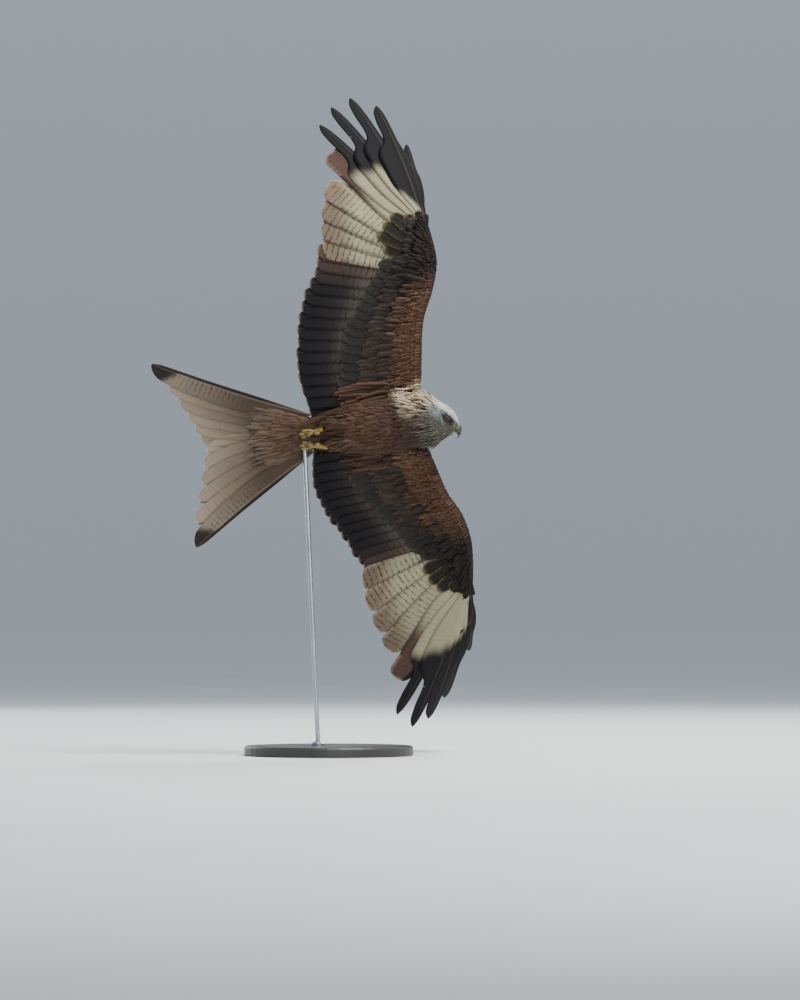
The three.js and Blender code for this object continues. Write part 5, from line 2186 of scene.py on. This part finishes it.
class WingCoat:
    """The lesser and median coverts of one wing."""

    KINDS = {"covert": "median", "contour": "axillary", "lesser covert": "lesser"}

    def __init__(self, wing: Wing, rng: Random) -> None:
        """Keeps the wing and a seeded source of variation."""
        self.wing = wing
        self.rng = rng

    def spot(self, face: Face, at: Array, reach: Array, over: float) -> Array:
        """Bird points on the arm's skin.

        Args:
            face: The wing's face.
            at: Places across the chord.
            reach: Reaches.
            over: Least height over the middle surface behind the arm.

        Returns:
            The points.
        """
        surface = self.wing.surface
        front, rear, depth = surface.chord(reach)
        rest = surface.half_depth(np.clip(at, 0, 1)) * depth - 2.4
        least = mix(0.3, over, ease(at, 0.35, 0.66))
        return surface.place(mix(front - 2.4, rear, at), reach, face.value * np.maximum(rest, least))

    def row_spots(self, row: CovertRow, face: Face, last: float) -> Array:
        """Places of the roots of some rows.

        Args:
            row: The rows.
            face: The wing's face.
            last: The arm's and hand's last reach.

        Returns:
            Place across, reach and share of the rows, for each.
        """
        spots = []
        for n, at in enumerate(row.at):
            short = 15 + (35 if face is Face.BELOW else 63) * ease(at, 0.15, 0.8)
            first, end = row.span or (26 if at > 0.3 else 40, last - short)
            reach = np.arange(first, end, row.pitch) + (n % 2) * row.pitch / 2
            share = n / max(1, len(row.at) - 1)
            spots.append(np.column_stack([np.full(len(reach), at), reach, np.full(len(reach), share)]))
        return np.concatenate(spots)

    def plant_row(self, row: CovertRow, face: Face) -> Planting:
        """The roots of some rows on one face.

        Args:
            row: The rows.
            face: The wing's face.

        Returns:
            The planting.
        """
        surface, plan, rng = self.wing.surface, self.wing.plan, self.rng
        last = plan.front[-1][1]
        at, reach, share = self.row_spots(row, face, last).T
        count = len(at)
        at = np.clip(at + rng.normal(0, 0.01, count) * ease(at, 0, 0.2), 0, 1.12)
        reach = reach + rng.normal(0, 1.3, count)
        here = self.spot(face, at, reach, row.over)
        behind = unit(self.spot(face, at + 0.015, reach, row.over)
                      - self.spot(face, np.maximum(at - 0.01, 0), reach, row.over))
        outward = unit(self.spot(face, at, reach + 2, row.over) - self.spot(face, at, reach - 2, row.over))
        normal = unit(np.cross(behind, outward))
        guide = face.value * (surface.place(here[:, 0], reach, np.full(count, 1.0))
                              - surface.place(here[:, 0], reach, np.zeros(count))) + np.array([0.3, 0, 0])
        normal = normal * np.sign(dots(normal, guide))[:, None]
        aim = np.radians(surface.aim(reach) + rng.normal(0, 4, count))[:, None]
        lie = behind * np.sin(aim) + outward * np.cos(aim)
        shrink = mix(1.0, 0.62, ease(reach, plan.wrist[1] - 20, last)) * rng.uniform(0.88, 1.12, count)
        grow = ease(share, 0, 0.7)
        size = np.column_stack([mix(*row.length, grow) * shrink, mix(*row.width, grow) * shrink])
        wrist = ease(reach + 40 * (at - 0.3), plan.wrist[1] - 90, plan.wrist[1] - 20)
        tint = blend(row.ground, row.wrist, wrist) * rng.uniform(0.78, 1.22, count)[:, None]
        if plan.side is Side.RIGHT and face is Face.BELOW:
            tint = blend(tint, INKS.collar, ease(here[:, 0] - 0.9 * reach, 60, 84))
        if plan.side is Side.LEFT and face is Face.BELOW:
            patch = np.exp(-(((reach - 84) / 22) ** 2) - ((at - 0.3) / 0.13) ** 2)
            tint = blend(tint, INKS.arm_patch, patch * 0.7)
        rim = blend(row.rim, colour(row.wrist) * 2.2, wrist * 0.7)
        streak = row.streak * rng.uniform(0.3, 1.5, count)
        front, rear, _ = surface.chord(reach)
        u = 0.03 + 0.9 * (mix(front, rear, at) - plan.root_row[-1][0] + 40) / 230
        v = 0.03 + 0.44 * reach / last + (0.5 if face is Face.ABOVE else 0.0)
        return Planting(here, normal, lie, size, tint, np.minimum(rim, 1), plain(INKS.covert_streak, count),
                        streak, np.column_stack([u, v]), row.lift * ease(at, -0.1, 0.15))

    def build(self, tree: CoatTree, forms: dict[str, Object], finish: Material) -> None:
        """Grows the coverts of both faces.

        Args:
            tree: The tree that sets the feathers.
            forms: The feathers' forms by name.
            finish: Their material.
        """
        node = self.wing.node
        for face, rows in ((Face.BELOW, UNDER_ROWS), (Face.ABOVE, UPPER_ROWS)):
            for form in dict.fromkeys(row.form for row in rows):
                planting = Planting.joined([self.plant_row(row, face) for row in rows if row.form == form])
                name = f"{node}_{self.KINDS[form]}_coverts_{face.name.lower()}"
                settle(tree.grow(name, planting, forms[form], finish, self.rng), "feather_rufous", node)


class TailCoat:
    """The soft coverts over and under the tail's root."""

    ROWS = 13
    PITCH = 6.2
    ABOVE = ("6C4630", "845339")
    BELOW = (INKS.vent, "665548")
    STREAK = "2E1D16"

    def __init__(self, rng: Random) -> None:
        """Keeps a seeded source of variation."""
        self.rng = rng
        self.plan = TailPlan()

    def plant_row(self, face: Face, n: int) -> Planting:
        """One row of coverts.

        Args:
            face: The tail's face.
            n: The row's number, 0 in front.

        Returns:
            The planting.
        """
        rng = self.rng
        sign = face.value
        t = n / (self.ROWS - 1)
        half = mix(30, 54, t)
        y = np.arange(-half, half + 1, self.PITCH) + (n % 2) * self.PITCH / 2
        count = len(y)
        high = sign * mix(12, 2.6, t) * np.sqrt(np.maximum(1 - (y / (half + 14)) ** 2, 0.02))
        x = mix(-108, -178, t) + rng.normal(0, 2.5, count)
        here = self.plan.place(x, y + rng.normal(0, 0.8, count), high)
        slope = np.full(count, -sign * mix(0.16, 0.02, t))
        lie = np.column_stack([-np.ones(count), y / 140 + rng.normal(0, 0.04, count), slope])
        shorter = 1 - 0.3 * (y / half) ** 2
        size = np.column_stack([mix(40, 84, t) * shorter * rng.uniform(0.7, 1.12, count),
                                mix(11, 15, t) * rng.uniform(0.8, 1.15, count)])
        near, far = self.ABOVE if face is Face.ABOVE else self.BELOW
        tint = mix(colour(near), colour(far), t**1.3) * rng.uniform(0.9, 1.1, count)[:, None]
        v = 0.04 + 0.033 * n + (sign > 0) * 0.5
        uv = np.column_stack([0.05 + 0.9 * (y + 70) / 140, np.full(count, v)])
        normals = np.tile([0, 0, float(sign)], (count, 1))
        return Planting(here, normals, lie, size, tint, np.minimum(tint * 1.25, 1), plain(self.STREAK, count),
                        rng.uniform(0.0, 0.1, count), uv, np.full(count, 1.6))

    def build(self, tree: CoatTree, form: Object, finish: Material) -> None:
        """Grows the tail's coverts as one piece."""
        planting = Planting.joined([self.plant_row(face, n) for face in Face for n in range(self.ROWS)])
        settle(tree.grow("tail_coverts", planting, form, finish, self.rng), "feather_rufous", "tail")


@dataclass(frozen=True)
class HeadInks:
    """Colours of the bill, the lids and the eyes, as hex colours."""

    horn: str = "3A3B40"
    horn_tip: str = "0E0E11"
    cere: str = "75682E"
    nostril: str = "2B1D0C"
    gape: str = "66592F"
    lid: str = "2A2622"
    lid_inside: str = "5F5230"
    # Iris colours darkened from the real pale amber as painted shade of the eye socket.
    iris: str = "7C6C40"
    iris_ray: str = "4A3D20"
    iris_edge: str = "30230F"
    pupil: str = "050505"
    ball: str = "15110E"


class Head:
    """The bill with its cere and gape, and the eyes with their lids."""

    UPPER = (
        (33.3, 10, 33.3, -6.4, 8.8), (39, 8.7, 38.6, -6.1, 8.0), (45, 4.9, 43.4, -6.3, 6.3),
        (49.8, -1.0, 46.4, -8.2, 4.6), (52.2, -7.4, 48.4, -11.4, 3.3), (53.0, -13.4, 50.0, -15.4, 2.2),
        (52.2, -20.2, 51.0, -19.8, 0.6),
    )
    LOWER = (
        (33.3, -7.0, 33.3, -13.4, 7.6), (39.6, -6.7, 39.6, -13.0, 6.2), (44.4, -7.4, 44.2, -12.4, 4.2),
        (48.5, -9.7, 48.1, -12.3, 2.1),
    )
    BILL_SIDES = 40
    BILL_RINGS = 56
    EYE_SIDES = 48
    LID_RINGS = 48
    LID_SIDES = 12
    LID_RADIUS = 1.15

    def __init__(self) -> None:
        """Keeps the colours."""
        self.inks = HeadInks()

    def bill_rings(self, rows: Rows) -> Array:
        """Smooth rings of one half of the bill, in the head's frame.

        Args:
            rows: Forward and up of its ridge, forward and up of its underside, and half width.

        Returns:
            The rings.
        """
        keyed = [(i, *row) for i, row in enumerate(rows)]
        at = np.linspace(0, len(rows) - 1, self.BILL_RINGS)
        top_f, top_u, low_f, low_u, half = smooth_rows(keyed, at).T
        zero = np.zeros_like(half)
        top = np.column_stack([top_f, zero, top_u])
        low = np.column_stack([low_f, zero, low_u])
        wide = np.column_stack([zero, half, zero])
        return ellipses((top + low) / 2, wide, (top - low) / 2, self.BILL_SIDES)

    def bill(self, upper: bool, finish: Material) -> None:
        """One half of the bill, yellow at the cere and black at the tip.

        Args:
            upper: Whether it is the upper half, with the nostrils.
            finish: Its material.
        """
        inks = self.inks
        data = loft(self.bill_rings(self.UPPER if upper else self.LOWER))
        f, side, up = data.points.T
        bound = 37.6 + 0.3 * up if upper else 35.6 + 0 * up
        cere = 1 - ease(f - bound, -0.5, 0.6)
        horn = blend(inks.horn, inks.horn_tip, ease(f - up * 0.5, 46, 56))
        tint = blend(horn, inks.cere, cere)
        if upper:
            pit = np.exp(-((f - 36.4) / 1.7) ** 2 - ((up - 3.2 - 0.5 * (f - 36.4)) / 1.1) ** 2)
            step = 0.35 * np.sign(side) * np.exp(-((f - bound + 0.8) / 1.0) ** 2) * (np.abs(side) > 1)
            data.points[:, 1] = side * (1 - 0.2 * pit) + step
            tint = blend(tint, inks.nostril, ease(pit, 0.4, 0.8))
        data.points = BODY_PLAN.from_head(data.points)
        data.values["tint"] = tint
        name, node = ("upper_bill", "bill_upper") if upper else ("lower_bill", "bill_lower")
        settle(make_object(name, data, finish), "bill", node)

    def flange(self, side: Side) -> MeshData:
        """The yellow flange of one corner of the mouth.

        Args:
            side: The bird's left or right.

        Returns:
            The flange.
        """
        f = np.array([35.5, 30.0, 24.0, 18.0, 13.5])
        middle, wide, high = smooth_rows(BODY_PLAN.skull, f).T
        up = np.array([-6.6, -7.2, -7.8, -8.2, -7.4])
        out = wide * np.sqrt(np.clip(1 - ((up - middle) / high) ** 2, 0.05, 1)) - 0.1
        out[0] = 7.0
        flange = tube(np.column_stack([f, side.value * out, up]), [0.6, 0.7, 0.7, 0.55, 0.2], 30, 12)
        flange.values = {"tint": plain(self.inks.gape, len(flange.points))}
        flange.points = BODY_PLAN.from_head(flange.points)
        return flange

    def gape(self, finish: Material) -> None:
        """Makes the mouth's yellow corners and the rings of the lids as one piece."""
        parts = [part for side in Side for part in (self.flange(side), self.lid(side))]
        settle(make_object("gape_and_lids", MeshData.joined(parts), finish), "skin")

    def lid(self, side: Side) -> MeshData:
        """The ring of one eye's lids, a little longer than high.

        Args:
            side: The bird's left or right.

        Returns:
            The closed ring.
        """
        turn, angle = circle(self.LID_RINGS), circle(self.LID_SIDES)
        middles = np.column_stack([
            EYE.forward + 6.7 * np.cos(turn),
            side.value * (18.3 + 0.5 * np.cos(turn * 2)),
            EYE.up + 5.7 * np.sin(turn) - 0.4 * np.cos(turn),
        ])
        outward = unit(middles - np.array([EYE.forward, side.value * 18.6, EYE.up]))
        axis = np.tile([0.0, side.value, 0.0], (self.LID_RINGS, 1))
        rings = ellipses(middles, self.LID_RADIUS * outward, self.LID_RADIUS * axis, self.LID_SIDES)
        index = np.arange(self.LID_RINGS * self.LID_SIDES).reshape(self.LID_RINGS, self.LID_SIDES)
        after = np.roll(index, -1, 0)
        quads = np.stack([index, np.roll(index, -1, 1), np.roll(after, -1, 1), after], -1).reshape(-1, 4)
        tint = blend(self.inks.lid, self.inks.lid_inside, np.tile(np.cos(angle) < -0.4, self.LID_RINGS) * 0.8)
        return MeshData(BODY_PLAN.from_head(rings.reshape(-1, 3)), quads, values={"tint": tint}).turned_out()

    def eye(self, side: Side, finish: Material) -> None:
        """One eyeball, with iris and pupil about its own axis.

        Args:
            side: The bird's left or right.
            finish: Its material.
        """
        inks = self.inks
        polar = np.linspace(0.015, np.pi - 0.015, 60)
        bulge = EYE.radius * (1 + 0.05 * np.exp(-((polar / 0.5) ** 2)) - 0.012)
        sweep = np.radians(14)
        axis = np.array([math.sin(sweep), side.value * math.cos(sweep), 0])
        across = np.array([math.cos(sweep), -side.value * math.sin(sweep), 0])
        up = np.array([0.0, 0.0, 1.0])
        middles = (bulge * np.cos(polar))[:, None] * axis
        wide = (bulge * np.sin(polar))[:, None]
        data = loft(ellipses(middles, wide * across, wide * up, self.EYE_SIDES))
        rows = np.concatenate([np.repeat(polar, self.EYE_SIDES), [0, np.pi]])
        turn = np.concatenate([np.tile(circle(self.EYE_SIDES), len(polar)), [0, 0]])
        # The iris is kept dark as painted shade of the socket.
        iris = blend(inks.iris, inks.iris_ray, 0.5 + 0.5 * np.sin(turn * 23 + 2 * np.sin(turn * 7)))
        iris = blend(iris, inks.iris_edge, ease(rows, 0.62, 0.74))
        tint = blend(iris, inks.pupil, 1 - ease(rows, 0.46, 0.5))
        data.values["tint"] = blend(tint, inks.ball, ease(rows, 0.76, 0.84))
        heart = np.array([EYE.forward, side.value * EYE.side, EYE.up])
        data.points = BODY_PLAN.from_head(data.points + heart)
        name = side.name.lower()
        settle(make_object(f"eye_ball_{name}", data, finish), "eye", f"eye_{name}")


@dataclass(frozen=True)
class FootPlan:
    """One foot drawn back under the tail: ankle, heel and fist in the bird's frame."""

    side: Side
    ankle: tuple[float, float, float]
    heel: tuple[float, float, float]
    fist: tuple[float, float, float]
    bare_from: float


FEET = (
    FootPlan(Side.LEFT, (-74, 31, -42.5), (-102, 24, -41.5), (-136, 19, -34), 0.1),
    FootPlan(Side.RIGHT, (-70, -16, -45.5), (-100, -9, -43), (-134, -6, -35), 0.45),
)


class Foot:
    """A clenched foot with scaly toes and black claws."""

    SHANK = 5.2
    TOE = 3.1
    CLAW = 2.1
    SPREAD = 5.2
    CURL = 9.0
    CLAW_LENGTH = 15.0
    SCUTES = 11
    SKIN_HUE = "80692B"
    CLAW_HUE = "141316"

    def __init__(self, plan: FootPlan) -> None:
        """Keeps one foot's places."""
        self.plan = plan

    def toe(self, place: int, heel: Array, fist: Array) -> tuple[MeshData, MeshData]:
        """One of the three front toes.

        Args:
            place: -1, 0 or 1 across the foot.
            heel: The heel's point.
            fist: The fist's point.

        Returns:
            The toe's skin and its claw.
        """
        out = np.array([0, place * self.SPREAD, 0])
        knuckle = mix(heel, fist, 0.62) + out + np.array([0, 0, -5.0])
        back = {-1: 6.5, 0: 0.0, 1: 3.5}[place]
        end = fist + out * 1.3 + np.array([back, 0, -7 + abs(place)])
        under = fist + out * 1.15 + np.array([self.CURL + back, 0, -12.5 + 0.8 * abs(place)])
        between = mix(knuckle, end, 0.5) + np.array([0, 0, -1.2])
        radii = [3.6, self.TOE + 0.7, self.TOE - 0.1, self.TOE + 0.45, self.TOE - 0.3, self.CLAW + 0.2]
        skin = tube([heel, knuckle, between, end, mix(end, under, 0.5), under], radii, 40, 16)
        bend = under + np.array([self.CLAW_LENGTH * 0.55, 0, 1.4])
        point = under + np.array([self.CLAW_LENGTH, 0, 5.0])
        claw = tube([mix(end, under, 0.8), under + np.array([2.0, 0, -0.6]), bend, point],
                    [self.CLAW * 0.85, self.CLAW * 0.9, 1.25, 0.12], 24, 12)
        return skin, claw

    def parts(self) -> tuple[list[MeshData], list[MeshData]]:
        """The whole foot.

        Returns:
            The skin's tubes and the claws.
        """
        ankle, heel, fist = (np.array(p, float) for p in (self.plan.ankle, self.plan.heel, self.plan.fist))
        shank = [mix(ankle, heel, self.plan.bare_from), heel, mix(heel, fist, 0.25)]
        skin = [tube(shank, [self.SHANK, self.SHANK * 0.92, self.SHANK * 0.95], 30, 18)]
        claws = []
        for place in (-1, 0, 1):
            toe, claw = self.toe(place, heel, fist)
            skin.append(toe)
            claws.append(claw)
        sign = self.plan.side.value
        spur = heel + np.array([6, -sign * 4, -8.0])
        spur_end = heel + np.array([-8, -sign * 4, -11.0])
        skin.append(tube([heel, spur, mix(spur, spur_end, 0.55)], [3.3, 3.2, 2.2], 24, 14))
        claw = [mix(spur, spur_end, 0.4), mix(spur, spur_end, 0.75), spur_end]
        claws.append(tube(claw, [1.9, 1.3, 0.12], 20, 12))
        return skin, claws

    def build(self, skin_finish: Material, claw_finish: Material) -> None:
        """The foot and its claws as two pieces.

        Args:
            skin_finish: The scaly skin's material.
            claw_finish: The claws' material.
        """
        skin, claws = self.parts()
        node = f"foot_{self.plan.side.name.lower()}"
        for part, hue in [(p, self.SKIN_HUE) for p in skin] + [(p, self.CLAW_HUE) for p in claws]:
            ringed = 1 + 0.06 * np.sin(part.values["along"] * 2 * np.pi * self.SCUTES)
            part.values = {"tint": colour(hue)[None] * ringed[:, None]}
        settle(make_object(f"{node}_skin", MeshData.joined(skin), skin_finish), "skin", node)
        settle(make_object(f"{node}_claws", MeshData.joined(claws), claw_finish), "bill", node)


@dataclass(frozen=True)
class Camera:
    """The photograph's view: belly on, from a little below."""

    distance: float = 10.0
    lens: float = 160.0
    sensor: float = 36.0
    rise: float = 1.5
    right: float = 0.090
    down: float = 0.162

    def build(self) -> None:
        """Makes the camera and sets it as the scene's."""
        angle = math.radians(self.rise)
        look = Vector((0, math.cos(angle), math.sin(angle)))
        up = Vector((0, -math.sin(angle), math.cos(angle)))
        side = Vector((1, 0, 0))
        heart = Vector((FLIGHT.forward * MM, 0, FLIGHT.height * MM))
        place = heart - look * self.distance + side * self.right - up * self.down
        data = bpy.data.cameras.new("photo camera")
        data.lens = self.lens
        data.sensor_fit = "VERTICAL"
        data.sensor_height = self.sensor
        data.clip_end = 200
        camera = show("photo camera", data)
        camera.matrix_world = Matrix.Translation(place) @ Matrix((side, up, -look)).transposed().to_4x4()
        bpy.context.scene.camera = camera


@dataclass(frozen=True)
class SoftLight:
    """One large soft studio light, aimed at the bird."""

    name: str
    place: tuple[float, float, float]
    size: float
    energy: float
    hue: tuple[float, float, float] = (1.0, 1.0, 1.0)

    def build(self) -> None:
        """Makes the light."""
        data = bpy.data.lights.new(self.name, "AREA")
        data.shape = "DISK"
        data.size = self.size
        data.energy = self.energy
        data.color = self.hue
        light = show(self.name, data)
        light.location = self.place
        aim = Vector((0.05, 0.05, 0.75)) - Vector(self.place)
        light.rotation_euler = aim.to_track_quat("-Z", "Y").to_euler()


class Studio:
    """The pale floor, the pale air and the soft lights."""

    REACH = 60.0
    FLOOR = ((0.77, 0.78, 0.79, 1), (0.80, 0.81, 0.82, 1))
    HORIZON = (0.52, 0.60, 0.68, 1)
    ZENITH = (0.66, 0.76, 0.86, 1)
    STRENGTH = 0.6
    LIGHTS = (
        SoftLight("key from above", (1.6, -0.9, 4.6), 1.8, 300, (1.0, 0.97, 0.92)),
        SoftLight("fill in front", (2.2, -5.2, 2.2), 3.0, 115, (0.95, 0.98, 1.0)),
        SoftLight("rim behind", (1.4, 3.4, 3.6), 2.2, 170, (1.0, 0.98, 0.95)),
        SoftLight("far side", (-2.8, 4.2, 1.6), 3.0, 70, (0.95, 0.98, 1.0)),
    )

    def build(self) -> None:
        """Makes the floor, the air and the lights."""
        sheet = NodeSheet("studio floor")
        tone = sheet.mix(sheet.span(sheet.noise(2.2, 4), 0.3, 0.7), *self.FLOOR)
        mesh = bpy.data.meshes.new("floor")
        reach = self.REACH
        square = [(-reach, -reach, 0), (reach, -reach, 0), (reach, reach, 0), (-reach, reach, 0)]
        mesh.from_pydata(square, [], [(0, 1, 2, 3)])
        mesh.materials.append(sheet.dress(Base_Color=tone, Roughness=0.85))
        show("floor", mesh)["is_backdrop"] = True
        self.air()
        for light in self.LIGHTS:
            light.build()

    def air(self) -> None:
        """Makes the air, darkening gently towards the floor's far edge."""
        world = bpy.data.worlds.new("air")
        world.use_nodes = True
        board = NodeBoard(world.node_tree)
        place = board.node("ShaderNodeTexCoord").outputs["Generated"]
        height = board.node("ShaderNodeSeparateXYZ", {0: place}).outputs["Z"]
        ramp = board.node("ShaderNodeMapRange", {"Value": height, "From Min": -0.01, "From Max": 0.3},
                          interpolation_type="SMOOTHSTEP").outputs[0]
        tone = board.node("ShaderNodeMix", {0: ramp, 6: self.HORIZON, 7: self.ZENITH}, data_type="RGBA")
        light = board.tree.nodes["Background"]
        board.feed(light.inputs["Color"], tone.outputs[2])
        board.feed(light.inputs["Strength"], self.STRENGTH)
        bpy.context.scene.world = world


def dress_stand(frame: dict) -> None:
    """Gives the stand's own nodes their finishes.
    """
    finishes = {
        "stand_base": StandFinish("painted base", "34322F", 0.0, 0.42),
        "stand_rod": StandFinish("brushed steel", "B9BCBF", 1.0, 0.28, 40.0),
    }
    for node, finish in finishes.items():
        thing = frame["nodes"][node]
        material = finish.build()
        for slot in thing.material_slots:
            slot.material = material
        if not thing.material_slots:
            thing.data.materials.append(material)
        LOG.info("%s: dressed", node)


def corners() -> list[list[float]]:
    """The shown object's box as plain lists."""
    return [[float(v) for v in corner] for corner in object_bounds()]


def main() -> None:
    """Builds the kite round the frame."""
    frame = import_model()
    Camera().build()
    Studio().build()
    dress_stand(frame)
    vane = VaneFinish("flight feather").build()
    tail_vane = VaneFinish("tail feather", 11.0, "C9B49C").build()
    finishes = {
        "body": PlumageFinish("body plumage").build(),
        "neck": PlumageFinish("neck plumage", 0.7, 22).build(),
        "head": PlumageFinish("head plumage", 0.75, 12).build(),
    }
    covert = PlumageFinish("wing coverts", 0.66, 34).build()
    # The skin's darkened tint is painted shade between the feathers.
    skin_finish = PaintedFinish("down and skin", 0.8, 700, 0.0004).build()
    bill_finish = PaintedFinish("horn and cere", 0.32, 420, 0.00008, 0.15, 0.12).build()
    bare_finish = PaintedFinish("scaly skin", 0.5, 900, 0.0003).build()
    claw_finish = PaintedFinish("claws", 0.25, 300, 0.00005, 0.2, 0.1).build()
    eye_finish = PaintedFinish("eye", 0.08, 300, 0.0, 0.0, 0.05, 0.2).build()
    wings = [Wing(LEFT_WING, np.random.default_rng(11)), Wing(RIGHT_WING, np.random.default_rng(12))]
    skin = Skin(wings)
    skin.build(skin_finish)
    tree = CoatTree()
    forms = {form.name: form.build() for form in FORMS}
    for wing in wings:
        wing.flight_feathers(vane)
        wing.large_coverts(vane)
        WingCoat(wing, np.random.default_rng(21)).build(tree, forms, covert)
    Tail(np.random.default_rng(31)).build(tail_vane)
    TailCoat(np.random.default_rng(41)).build(tree, forms["contour"], finishes["body"])
    BodyCoat(skin, np.random.default_rng(51)).build(tree, forms, finishes)
    head = Head()
    head.bill(True, bill_finish)
    head.bill(False, bill_finish)
    head.gape(bare_finish)
    for side in Side:
        head.eye(side, eye_finish)
    for plan in FEET:
        Foot(plan).build(bare_finish, claw_finish)


if __name__ == "__main__":
    main()
